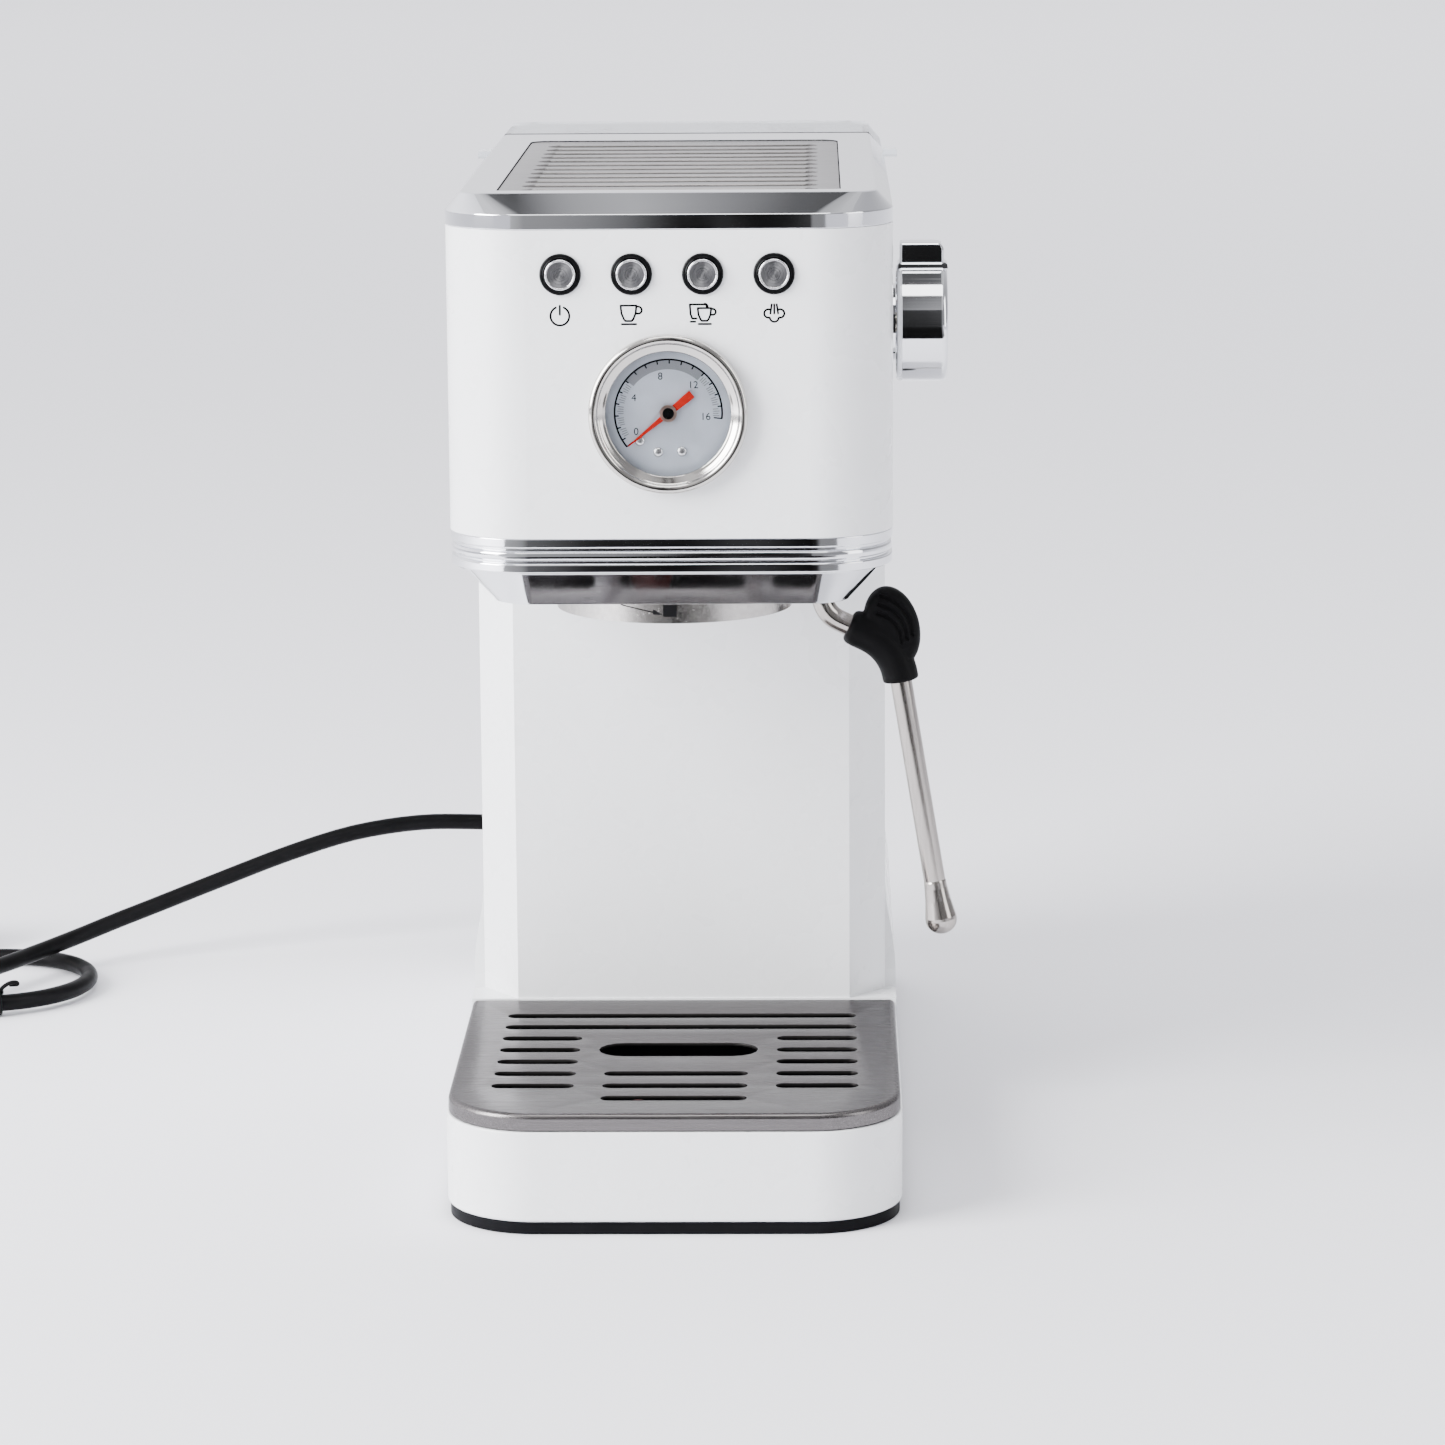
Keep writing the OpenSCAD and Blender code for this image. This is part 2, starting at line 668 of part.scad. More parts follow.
module wand_tip() color(steel)
    translate([low_4.x, wand_y, low_4.y]) rotate([0, 90 - slope_2, 0]) rotate_extrude()
        polygon(concat(
            [[0, 0], [wand_r + 0.2, 0], [wand_r + 0.25, 2], [4.5, 10]],
            [for (a = [0:15:90]) [5 * cos(a), 12.6 + 5 * sin(a)]]
        ));

// ---- drip tray ----

tray_y0 = front(0);
tray_y1 = front(tray_d);
tray_z0 = plate_top + 0.2;
float_spot = [-12, front(47.92)];

module drip_tray() color(white) difference() {
    union() {
        slab(base_w, tray_y0, tray_y1, base_r, 2, tray_z0, tray_top);
        slab(base_w - 5, tray_y0 + 2.5, tray_y1 - 2.5, base_r - 2.5, 1.5, tray_z0, grid_top - 1.4);
    }
    difference() {
        slab(base_w - 8, tray_y0 + 4, tray_y1 - 4, base_r - 4, 1, tray_z0 + 2, grid_top + 1);
        difference() {
            post(float_spot.x, float_spot.y, 9.4, 0, 18);
            post(float_spot.x, float_spot.y, 8, 0, 20);
        }
    }
}

slot_rows = [for (k = [1:5]) front(19.2 + 14.36 * k)];
long_rows = [for (k = [6:7]) front(19.2 + 14.36 * k)];
middle_rows = [for (k = [0:2]) front(19.2 + 14.36 * k)];

module drip_grid() color(steel) difference() {
    slab(base_w - 1.2, tray_y0 + 0.6, tray_y1 - 0.4, base_r - 0.6, 1.6, tray_top + 0.2, grid_top);
    slab(base_w - 3.8, tray_y0 + 1.9, tray_y1 - 1.7, base_r - 1.9, 0.6, tray_top - 1, grid_top - 1);
    for (y = slot_rows, side = [-1, 1])
        slot(side > 0 ? 31.3 : -56.4, side > 0 ? 56.4 : -31.3, y, grid_top - 2, grid_top + 1);
    for (y = long_rows) slot(-56.4, 56.4, y, grid_top - 2, grid_top + 1);
    for (y = middle_rows) slot(-22.2, 22.2, y, grid_top - 2, grid_top + 1);
    block([-17, front(69), grid_top - 2], [17, front(85), grid_top + 1]);
    for (x = [-17, 17]) post(x, front(77), 8, grid_top - 2, grid_top + 1);
}

module tray_float() color("#cf2a26") {
    post(float_spot.x, float_spot.y, 7.2, tray_z0 + 2.3, 17);
    post(float_spot.x, float_spot.y, 1.7, 17, 29);
}

// ---- water tank ----

lid_hinge_x = 36;

module tank_ear(x) {
    difference() {
        hull() {
            rod_x(lid_axis.x, lid_axis.y, 2.6, x - 1, x + 1);
            block([x - 1, tank_y1 - 1, lid_axis.y - 12], [x + 1, tank_y1, lid_axis.y - 4]);
        }
        rod_x(lid_axis.x, lid_axis.y, 1.2, x - 2, x + 2);
    }
}

module water_tank() color(clear) {
    difference() {
        slab(tank_w, tank_y0, tank_y1, 5, 12, shelf_z + gap, tank_top);
        slab(tank_w - 4, tank_y0 + 2, tank_y1 - 2, 3, 10, shelf_z + 3, tank_top + 1);
        post(0, coupling_y, 6, shelf_z - 1, shelf_z + 4);
    }
    for (side = [-1, 1], edge = [-1, 1]) tank_ear(side * lid_hinge_x + edge * 7.2);
}

module tank_valve() color(black) {
    post(0, coupling_y, 7, 53, shelf_z + gap);
    post(0, coupling_y, 5.9, shelf_z + gap, shelf_z + 8);
    post(0, coupling_y, 9, shelf_z + 3, shelf_z + 6);
}

lid_z = tank_top + 0.3;

module lid_form(inset, z0) {
    hull() {
        slab(134 - 2 * inset, tank_y0 + inset, tank_y1 + 0.5 - inset, 1, 12, z0, 306.5 - inset);
        slab(125 - 2 * inset, tank_y0 + inset, tank_y1 - 1.5 - inset, 1, 10,
            cover_top - 0.2 - inset, cover_top - inset);
    }
}

module tank_lid() color(clear) {
    difference() {
        union() {
            lid_form(0, lid_z);
            for (side = [-1, 1])
                block([side * 69.2 - 3.2, tank_y0 + 7, lid_z],
                    [side * 69.2 + 3.2, tank_y0 + 18, lid_z + 2.4]);
        }
        lid_form(1.8, lid_z - 3);
        for (side = [-1, 1]) block([side * lid_hinge_x - 9, tank_y1 - 2.6, lid_z - 1],
            [side * lid_hinge_x + 9, base_back, lid_z + 6.6]);
    }
    for (side = [-1, 1]) difference() {
        union() {
            rod_x(lid_axis.x, lid_axis.y, 2.6, side * lid_hinge_x - 5.6, side * lid_hinge_x + 5.6);
            block([side * lid_hinge_x - 5.6, tank_y1 - 3, lid_axis.y + 0.8],
                [side * lid_hinge_x + 5.6, lid_axis.x, lid_axis.y + 2.6]);
        }
        rod_x(lid_axis.x, lid_axis.y, 1.2 + fit, side * lid_hinge_x - 7, side * lid_hinge_x + 7);
    }
}

module lid_pins() color(steel)
    for (x = [-lid_hinge_x, lid_hinge_x]) rod_x(lid_axis.x, lid_axis.y, 1.2, x - 8.2, x + 8.2);

// ---- mains lead ----

relief_len = 32;
hank_centre = behind(-24);
hank_right = -263;                          // centres of the hank's round ends
hank_left = -347;
hank_bend = 42;                             // centreline radius of its ends
hank_h = 2 * cord_d;
plug_spot = [-318, behind(35.5), 12.5];     // where the lead enters the plug

lead_bend = 28;                             // centreline radius of the bend behind the strain relief
cord_route = [
    [cord_x, behind(relief_len), cord_z],
    for (a = [0:18:90]) [cord_x - lead_bend * (1 - cos(a)), behind(36) + lead_bend * sin(a), cord_z],
    [-86, behind(63.5), cord_z + 0.8], [-107, behind(60), cord_z + 1.3], [-131, behind(52.5), cord_z - 1],
    [-155, behind(44), 35], [-179, behind(34), 27.5], [-201, behind(24), 20.5], [-216, behind(16), 16],
    [-230, behind(6), 12], [-243, behind(-10), 10]
];
tail_route = [
    [-352, behind(18), 3.2], [-342, behind(20.5), 4.4], [-333, behind(26), 7.2], [-325, behind(32), 10.8],
    plug_spot
];

module strain_relief() color(black) difference() {
    union() {
        rod_y(cord_x, cord_z, 8, base_back, base_back + 3);
        rod_y(cord_x, cord_z, 5, base_back - 4, base_back);
        rod_y(cord_x, cord_z, 7.5, base_back - 5.5, base_back - wall);
        translate([cord_x, base_back + 3, cord_z]) rotate([-90, 0, 0])
            cylinder(r1 = 6.2, r2 = 4.2, h = relief_len - 3);
    }
    for (k = [0:3]) translate([cord_x, base_back + 9 + 5.5 * k, cord_z]) rotate([-90, 0, 0])
        difference() {
            cylinder(r = 9, h = 1.8);
            cylinder(r = 3.8, h = 1.8);
        }
}

module power_cord() color(black) tube(cord_route, cord_d / 2, 2);

module cord_hank() color(black) linear_extrude(hank_h) union() {
    translate([hank_left, hank_centre - hank_bend - cord_d / 2])
        square([hank_right - hank_left, 2 * hank_bend + cord_d]);
    for (x = [hank_left, hank_right]) translate([x, hank_centre]) circle(r = hank_bend + cord_d / 2);
}

module cord_tail() color(black) tube(tail_route, cord_d / 2, 2);

module plug_body() color(black) translate(plug_spot) {
    hull() {
        rotate([0, 90, 0]) cylinder(r = 4.4, h = 1, $fn = 32);
        translate([12, -10, -9]) cube([1, 20, 18]);
    }
    translate([12, -12.5, -12]) cube([20, 25, 24]);
}

module plug_pins() color(brass) translate(plug_spot + [32, 0, 0]) {
    for (side = [-1, 1]) translate([0, side * 6.35 - 0.8, 1.8]) cube([17, 1.6, 6.4]);
    translate([0, 0, -6.9]) rotate([0, 90, 0]) cylinder(r = 2.4, h = 18);
}

base_plate();
feet();
union() {
    body_shell();
    color(white) shell_posts();
    color(white) for (z = [panel_z[0], panel_z[1]]) panel_lugs(z, (column_w - wall) / 2);
}
rear_panel();
head_shell();
lower_trim();
head_skirt();
top_cover();
cup_plate();
button_bezels();
control_board();
gauge_case();
gauge_dial();
dial_screws();
gauge_bezel();
gauge_glass();
group_collar();
group_gasket();
brew_head();
shower_screen();
screen_screw();
thermoblock();
pump();
pump_mounts();
relief_valve();
tank_coupling();
inlet_hose();
pressure_hose();
steam_pipe();
steam_valve();
valve_escutcheon();
wand_socket();
base_screws();
panel_screws();
strain_relief();
power_cord();
cord_hank();
cord_tail();
plug_body();
plug_pins();
drip_tray();
drip_grid();
tray_float();
power_button();
one_cup_button();
two_cup_button();
steam_button();
gauge_needle();
needle_hub();
steam_knob();
valve_stem();
wand_ball();
wand_tube();
wand_grip();
wand_tip();
water_tank();
tank_valve();
tank_lid();
lid_pins();
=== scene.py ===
"""Looks of the slim espresso machine: camera, mains lead, materials and detailed pieces."""

import math

import bmesh
import bpy
from mathutils import Matrix, Vector


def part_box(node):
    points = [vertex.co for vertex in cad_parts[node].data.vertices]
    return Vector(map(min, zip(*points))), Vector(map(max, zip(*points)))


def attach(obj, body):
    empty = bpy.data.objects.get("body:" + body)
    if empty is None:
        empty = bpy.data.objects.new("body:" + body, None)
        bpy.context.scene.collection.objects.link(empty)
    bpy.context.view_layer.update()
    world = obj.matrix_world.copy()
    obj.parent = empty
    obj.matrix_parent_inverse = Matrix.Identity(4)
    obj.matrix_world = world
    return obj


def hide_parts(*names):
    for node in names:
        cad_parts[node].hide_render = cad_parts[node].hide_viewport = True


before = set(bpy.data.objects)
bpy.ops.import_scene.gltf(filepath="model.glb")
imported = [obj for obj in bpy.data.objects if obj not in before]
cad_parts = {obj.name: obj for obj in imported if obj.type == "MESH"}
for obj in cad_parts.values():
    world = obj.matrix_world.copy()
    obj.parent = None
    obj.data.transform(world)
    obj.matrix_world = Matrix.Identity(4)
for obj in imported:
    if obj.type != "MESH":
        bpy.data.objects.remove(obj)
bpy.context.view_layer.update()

MM = 0.001


def box_mm(node):
    """Lowest and highest corner of a CAD node, in millimetres."""
    low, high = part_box(node)
    return low / MM, high / MM


def centre_of(node):
    low, high = box_mm(node)
    return (low + high) / 2


def unit(v):
    return Vector(v).normalized()


def on_circle(r, angle):
    """Point of a circle about the origin, at an angle in degrees."""
    return Vector((r * math.cos(math.radians(angle)), r * math.sin(math.radians(angle))))


def at_height(points, z):
    return [(x, y, z) for x, y in points]


def link(name, data):
    """New object in the scene."""
    made = bpy.data.objects.new(name, data)
    bpy.context.collection.objects.link(made)
    return made


# ---- camera

CAMERA_AT = Vector((43.9, -1612.7, 441.2)) * MM
CAMERA_YAW = math.radians(-1.101)
CAMERA_PITCH = math.radians(11.065)
CAMERA_ROLL = math.radians(-0.388)

camera_data = bpy.data.cameras.new("camera")
camera_data.lens = 123.8
camera_data.sensor_width = 36.0
camera = link("camera", camera_data)
camera.matrix_world = (
    Matrix.Translation(CAMERA_AT)
    @ Matrix.Rotation(-CAMERA_YAW, 4, "Z")
    @ Matrix.Rotation(-CAMERA_PITCH, 4, "X")
    @ Matrix.Rotation(-CAMERA_ROLL, 4, "Y")
    @ Matrix.Rotation(math.radians(90), 4, "X")
)
bpy.context.scene.camera = camera


# ---- mesh helpers

SHARP = math.radians(32)
EASED = math.radians(75)  # for pieces whose flats are held by extra rings


def set_shading(mesh, angle=SHARP):
    """Smooth shading with creases kept where faces meet at more than angle."""
    mesh.polygons.foreach_set("use_smooth", [True] * len(mesh.polygons))
    mesh.set_sharp_from_angle(angle=angle)


def add_object(name, vertices, faces, origin=(0, 0, 0), angle=SHARP):
    """Mesh object from vertices in millimetres. Its origin, also in millimetres, is where it is placed."""
    origin = Vector(origin)
    mesh = bpy.data.meshes.new(name)
    mesh.from_pydata([(Vector(v) - origin) * MM for v in vertices], [], faces)
    clean = bmesh.new()
    clean.from_mesh(mesh)
    bmesh.ops.remove_doubles(clean, verts=clean.verts, dist=1e-7)
    bmesh.ops.recalc_face_normals(clean, faces=clean.faces)
    clean.to_mesh(mesh)
    clean.free()
    set_shading(mesh, angle)
    piece = link(name, mesh)
    piece.location = origin * MM
    return piece


def arc(cx, cy, r, start, end, steps):
    """Points of an arc between two angles in degrees."""
    turns = [math.radians(start + (end - start) * k / steps) for k in range(steps + 1)]
    return [(cx + r * math.cos(a), cy + r * math.sin(a)) for a in turns]


def circle(x, y, r, z, steps=64):
    return at_height(arc(x, y, r, 0, 360, steps)[:-1], z)


def outline(w, y0, y1, rf, rb, steps=16):
    """Rectangle about x = 0 with round front and back corners, counter-clockwise."""
    h = w / 2
    front = [(-h + rf, y0 + rf, rf, 180), (h - rf, y0 + rf, rf, 270)]
    back = [(h - rb, y1 - rb, rb, 0), (-h + rb, y1 - rb, rb, 90)]
    return [p for x, y, r, a in front + back for p in arc(x, y, max(r, 0.01), a, a + 90, steps)]


def loft(levels, cap_first=True, cap_last=True, loop=False):
    """Vertices and faces of a surface through rings of the same number of points."""
    n = len(levels[0])
    vertices = [p for ring in levels for p in ring]
    faces = []
    for a in range(len(levels) if loop else len(levels) - 1):
        b = (a + 1) % len(levels)
        faces += [(a * n + k, a * n + (k + 1) % n, b * n + (k + 1) % n, b * n + k) for k in range(n)]
    if cap_first and not loop:
        faces.append(tuple(range(n - 1, -1, -1)))
    if cap_last and not loop:
        faces.append(tuple(range((len(levels) - 1) * n, len(levels) * n)))
    return vertices, faces


def held(levels, margin=0.12, loop=False):
    """Adds rings close to both ends of every wide strip, so that smooth shading keeps it flat."""
    rings = []
    pairs = list(zip(levels, levels[1:] + levels[:1])) if loop else list(zip(levels, levels[1:]))
    for a, b in pairs:
        rings.append(a)
        reach = max(math.dist(p, q) for p, q in zip(a, b))
        if reach > 5 * margin:
            for t in (margin / reach, 1 - margin / reach):
                rings.append([tuple(Vector(p).lerp(Vector(q), t)) for p, q in zip(a, b)])
    return rings if loop else rings + [levels[-1]]


def wall_rings(profile, w, y0, y1, rf, rb):
    """Rings of a wall that follows a rounded rectangle. The profile lists (inset, height)."""
    return [
        at_height(outline(w - 2 * i, y0 + i, y1 - i, max(rf - i, 0.3), max(rb - i, 0.3)), z)
        for i, z in profile
    ]


def turned_object(name, profile, at, axis, steps=96, angle=EASED, closed=False):
    """Turned piece with its origin on its axis. A closed profile is a ring, an open one is capped."""
    rings = [circle(0, 0, r, z, steps) for r, z in profile]
    vertices, faces = loft(held(rings, 0.12, closed), loop=closed)
    frame_at = Matrix.Translation(Vector(at)) @ unit(axis).to_track_quat("Z", "Y").to_matrix().to_4x4()
    return add_object(name, [frame_at @ Vector(v) for v in vertices], faces, at, angle)


def merged(parts):
    """One vertex and face list from several."""
    vertices, faces = [], []
    for v, f in parts:
        faces += [tuple(i + len(vertices) for i in face) for face in f]
        vertices += list(v)
    return vertices, faces


def tube_rings(points, radius, sides=20):
    """Rings of a tube along a line of points. The radius may be a list."""
    points = [Vector(p) for p in points]
    last = len(points) - 1
    radii = radius if isinstance(radius, list) else [radius] * len(points)
    ahead = [unit(points[min(i + 1, last)] - points[max(i - 1, 0)]) for i in range(last + 1)]
    across = ahead[0].orthogonal().normalized()
    rings = []
    for i, p in enumerate(points):
        if i:
            across = ahead[i - 1].rotation_difference(ahead[i]) @ across
        side = ahead[i].cross(across)
        rings.append([p + radii[i] * (c * across + s * side) for c, s, _ in circle(0, 0, 1, 0, sides)])
    return rings


def catmull(points, steps):
    """Smooth line through points, with steps pieces between neighbours."""
    points = [Vector(p) for p in points]
    padded = [2 * points[0] - points[1], *points, 2 * points[-1] - points[-2]]
    line = []
    for i in range(len(points) - 1):
        a, b, c, d = padded[i:i + 4]
        for k in range(steps):
            t = k / steps
            bend, twist = 2 * a - 5 * b + 4 * c - d, 3 * b - a - 3 * c + d
            line.append((2 * b + (c - a) * t + bend * t**2 + twist * t**3) / 2)
    return line + [points[-1]]


# ---- mains lead

BACK = box_mm("body_shell")[1].y
CORD_D = 6.0
CORD_Z = 42.0
LEAD_X = -42.0
PLUG_Z = 12.5
plug_spot = (box_mm("plug_body")[0].x, centre_of("plug_body").y, PLUG_Z)
HANK_Y = BACK - 24


def behind(distance):
    """Y of a place that is this far behind the housing."""
    return BACK + distance


def fold(x, y, r, start, end, z_start, z_end):
    """Half turn of the hank, which rises or falls evenly."""
    plan = arc(x, y, r, start, end, 8)
    return [(px, py, z_start + (z_end - z_start) * k / 8) for k, (px, py) in enumerate(plan)]


LEAD_BEND = 28.0
lead_route = [(LEAD_X, behind(32), CORD_Z)]
lead_route += at_height(arc(LEAD_X - LEAD_BEND, behind(36), LEAD_BEND, 0, 90, 5), CORD_Z)
lead_route += [
    (-86, behind(63.5), CORD_Z + 0.8), (-107, behind(60), CORD_Z + 1.3), (-131, behind(52.5), CORD_Z - 1),
    (-155, behind(44), 35), (-179, behind(34), 27.5), (-201, behind(24), 20.5), (-216, behind(16), 16),
    (-230, behind(6), 12),
]
LOW = CORD_D / 2 + 0.15  # heights of the hank's lower and upper strands
HIGH = LOW + CORD_D + 0.1
TIE_X = -247.5  # place of the wire tie, which lifts the strand it goes round
TIE_LIFT = 1.7
hank_route = [
    (-243, behind(-9), HIGH + 0.4), (-252, behind(-25), HIGH), (-261, behind(-40), HIGH),
    (-271.5, behind(-52.5), HIGH), (-284, behind(-60), HIGH), (-300, behind(-62.5), HIGH),
    (-325, behind(-62), HIGH),
]
hank_route += fold(-350, HANK_Y - 2, 36, 270, 90, HIGH, LOW)
hank_route += [(-320, HANK_Y + 34, LOW), (-290, HANK_Y + 35, LOW)]
hank_route += fold(-260, HANK_Y - 3, 39, 90, -90, LOW, LOW + TIE_LIFT)
hank_route += [(-290, HANK_Y - 42, LOW + TIE_LIFT / 3), (-325, HANK_Y - 42, LOW)]
hank_route += fold(-347.2, HANK_Y, 41.6, 270, 90, LOW, LOW)
tail_route = [(-338.5, behind(19.4), 4.2), (-330.5, behind(23.6), 6.8), (-323.5, behind(29.2), 10.2)]
tail_route.append(plug_spot)
cord_line = catmull(lead_route + hank_route + tail_route, 4)

mains_lead = add_object("mains_lead", *loft(tube_rings(cord_line, CORD_D / 2, 16)))


# ---- materials

def add_node(tree, kind, **inputs):
    """New shader node. An input is a plain value, or another node's output, which is linked."""
    node = tree.nodes.new("ShaderNode" + kind)
    for name, value in inputs.items():
        socket = node.inputs[name.replace("_", " ")]
        if isinstance(value, bpy.types.NodeSocket):
            tree.links.new(value, socket)
        else:
            socket.default_value = value
    return node


def direction_parts(tree, output):
    """X, Y and Z of a texture coordinate."""
    where = add_node(tree, "TexCoord").outputs[output]
    return add_node(tree, "SeparateXYZ", Vector=where).outputs


def to_shader(material, output, socket):
    """Links an output to a socket of the material's shader."""
    material.node_tree.links.new(output, material.node_tree.nodes["Principled BSDF"].inputs[socket])


def new_material(name, color, roughness, metallic=0.0, **sockets):
    """Principled material with the given sockets set."""
    material = bpy.data.materials.new(name)
    material.use_nodes = True
    shader = material.node_tree.nodes["Principled BSDF"]
    sockets.update({"Base Color": (*color, 1.0), "Roughness": roughness, "Metallic": metallic})
    for socket, value in sockets.items():
        shader.inputs[socket.replace("_", " ")].default_value = value
    return material


def noise(material, scale, detail=3.0, stretch=(1, 1, 1)):
    """Noise in the object's own space, in cells per metre, stretched by the given factors."""
    tree = material.node_tree
    where = add_node(tree, "TexCoord").outputs["Object"]
    mapping = add_node(tree, "Mapping", Vector=where, Scale=[scale / s for s in stretch])
    texture = add_node(tree, "TexNoise", Vector=mapping.outputs["Vector"], Scale=1.0, Detail=detail)
    return texture.outputs["Fac"]


TEXTURE_LOW, TEXTURE_HIGH = 0.3, 0.7  # range that a noise mostly keeps to


def spread(material, source, low, high, socket):
    """Drives a shader socket from a texture, remapped to run between two values."""
    texture = {"From_Min": TEXTURE_LOW, "From_Max": TEXTURE_HIGH}
    remap = add_node(material.node_tree, "MapRange", Value=source, To_Min=low, To_Max=high, **texture)
    to_shader(material, remap.outputs["Result"], socket)


def tint(material, source, dark, light):
    """Base colour that runs between two colours with a texture."""
    node = add_node(material.node_tree, "ValToRGB", Fac=source)
    stops = zip(node.color_ramp.elements, [(TEXTURE_LOW, dark), (TEXTURE_HIGH, light)])
    for element, (position, color) in stops:
        element.position = position
        element.color = (*color, 1)
    to_shader(material, node.outputs["Color"], "Base Color")


def bump(material, source, strength, distance):
    """Bump from a texture. The distance is in metres."""
    node = add_node(material.node_tree, "Bump", Strength=strength, Distance=distance, Height=source)
    to_shader(material, node.outputs["Normal"], "Normal")


def enamel(name, color):
    material = new_material(name, color, 0.28, Coat_Weight=0.35, Coat_Roughness=0.12)
    shade = [c * 0.985 for c in color]
    tint(material, noise(material, 35), shade, color)
    spread(material, noise(material, 60), 0.24, 0.32, "Roughness")
    bump(material, noise(material, 900, 1.0), 0.05, 0.00003)
    return material


def polished(name, color, roughness=0.05, wave=0.04):
    """Bright plated metal with faint smears and a slight waviness."""
    material = new_material(name, color, roughness, 1.0)
    spread(material, noise(material, 45, 4.0), roughness * 0.8, roughness * 1.7, "Roughness")
    bump(material, noise(material, 28, 1.0), wave, 0.0006)
    return material


def brushed(name, color, stretch, roughness=0.28, fine=2600, anisotropy=0.6, edge=0.7):
    """Satin metal with streaks along the stretched axis. Edge is its brightness at a low angle."""
    tinted = (edge, edge, edge, 1)
    material = new_material(name, color, roughness, 1.0, Anisotropic=anisotropy, Specular_Tint=tinted)
    streaks = noise(material, fine, 3.0, stretch)
    shade = [c * 0.86 for c in color]
    tint(material, noise(material, fine * 0.6, 2.0, stretch), shade, color)
    spread(material, streaks, roughness * 0.8, roughness * 1.25, "Roughness")
    bump(material, streaks, 0.12, 0.00003)
    return material


def spun(name, color, roughness=0.3, rings=3000):
    """Satin metal turned about the object's own Y axis: the sheen fans out from its centre."""
    material = new_material(name, color, roughness, 1.0, Anisotropic=0.85)
    tree = material.node_tree
    parts = direction_parts(tree, "Object")
    flat = add_node(tree, "CombineXYZ", X=parts["X"], Y=parts["Z"])
    radius = tree.nodes.new("ShaderNodeVectorMath")
    radius.operation = "LENGTH"
    tree.links.new(flat.outputs["Vector"], radius.inputs[0])
    texture = tree.nodes.new("ShaderNodeTexNoise")
    texture.noise_dimensions = "1D"
    texture.inputs["Scale"].default_value = rings
    texture.inputs["Detail"].default_value = 2.0
    tree.links.new(radius.outputs["Value"], texture.inputs["W"])
    tangent = tree.nodes.new("ShaderNodeTangent")
    tangent.direction_type = "RADIAL"
    tangent.axis = "Y"
    to_shader(material, tangent.outputs["Tangent"], "Tangent")
    spread(material, texture.outputs["Fac"], roughness * 0.8, roughness * 1.3, "Roughness")
    bump(material, texture.outputs["Fac"], 0.06, 0.00002)
    return material


def moulded(name, color, roughness, grain=1400, depth=0.00004, coat=0.0, specular=0.25):
    """Plastic or rubber with a fine moulded grain."""
    material = new_material(
        name, color, roughness, Coat_Weight=coat, Coat_Roughness=0.15, Specular_IOR_Level=specular
    )
    shade = [c * 0.8 for c in color]
    tint(material, noise(material, 90), shade, color)
    spread(material, noise(material, 160), roughness * 0.85, min(roughness * 1.15, 1.0), "Roughness")
    bump(material, noise(material, grain, 2.0), 0.25, depth)
    return material


def clear(name, color, roughness=0.04):
    material = new_material(name, color, roughness, Transmission_Weight=1.0, IOR=1.25)
    spread(material, noise(material, 50), roughness * 0.6, roughness * 1.8, "Roughness")
    return material


WHITE = enamel("white_enamel", (0.86, 0.87, 0.885))
PANEL = enamel("panel_enamel", (0.80, 0.81, 0.82))
CHROME = polished("chrome", (0.80, 0.81, 0.84))
BEZEL = polished("bezel_steel", (0.56, 0.54, 0.515), 0.09)
RIM_CHROME = polished("rim_chrome", (0.80, 0.80, 0.82), 0.12, 0.0)
STEEL = polished("polished_steel", (0.72, 0.71, 0.70), 0.16)
TUBE_STEEL = brushed("tube_steel", (0.44, 0.41, 0.385), (1, 1, 40), 0.16, 2200, 0.3)
# Grid steel with a very dark base colour: painted shade of the grid under the head, which also darkens its
# reflection in the skirt.
GRID_STEEL_SHADED = brushed("grid_steel_painted_shade", (0.15, 0.141, 0.142), (60, 1, 1), 0.26, edge=0.66)
# Near-black steel for the slot walls and the grid's underside: painted shade inside the slots.
SLOT_SHADE = brushed("slot_painted_shade", (0.02, 0.019, 0.019), (60, 1, 1), 0.5, edge=0.05)
BRUSHED_PLATE = brushed("warming_plate_steel", (0.32, 0.305, 0.30), (60, 1, 1), 0.26, 2600, 0.2, 0.8)
COLLAR = brushed("collar_steel", (0.50, 0.48, 0.46), (1, 1, 1), 0.22, 900)
SPUN = spun("spun_steel", (0.27, 0.27, 0.28))
BLACK = moulded("black_plastic", (0.004, 0.004, 0.005), 0.5, specular=0.06)
GLOSS_BLACK = moulded("gloss_black", (0.003, 0.003, 0.0034), 0.2, 500, 0.00001, specular=0.12)
RUBBER = moulded("black_rubber", (0.003, 0.003, 0.0034), 0.5, 1600, 0.00006, specular=0.07)
CORD_BLACK = moulded("cord_black", (0.003, 0.003, 0.0034), 0.4, 700, 0.00005, specular=0.07)
GASKET = moulded("gasket_red", (0.36, 0.07, 0.04), 0.6)
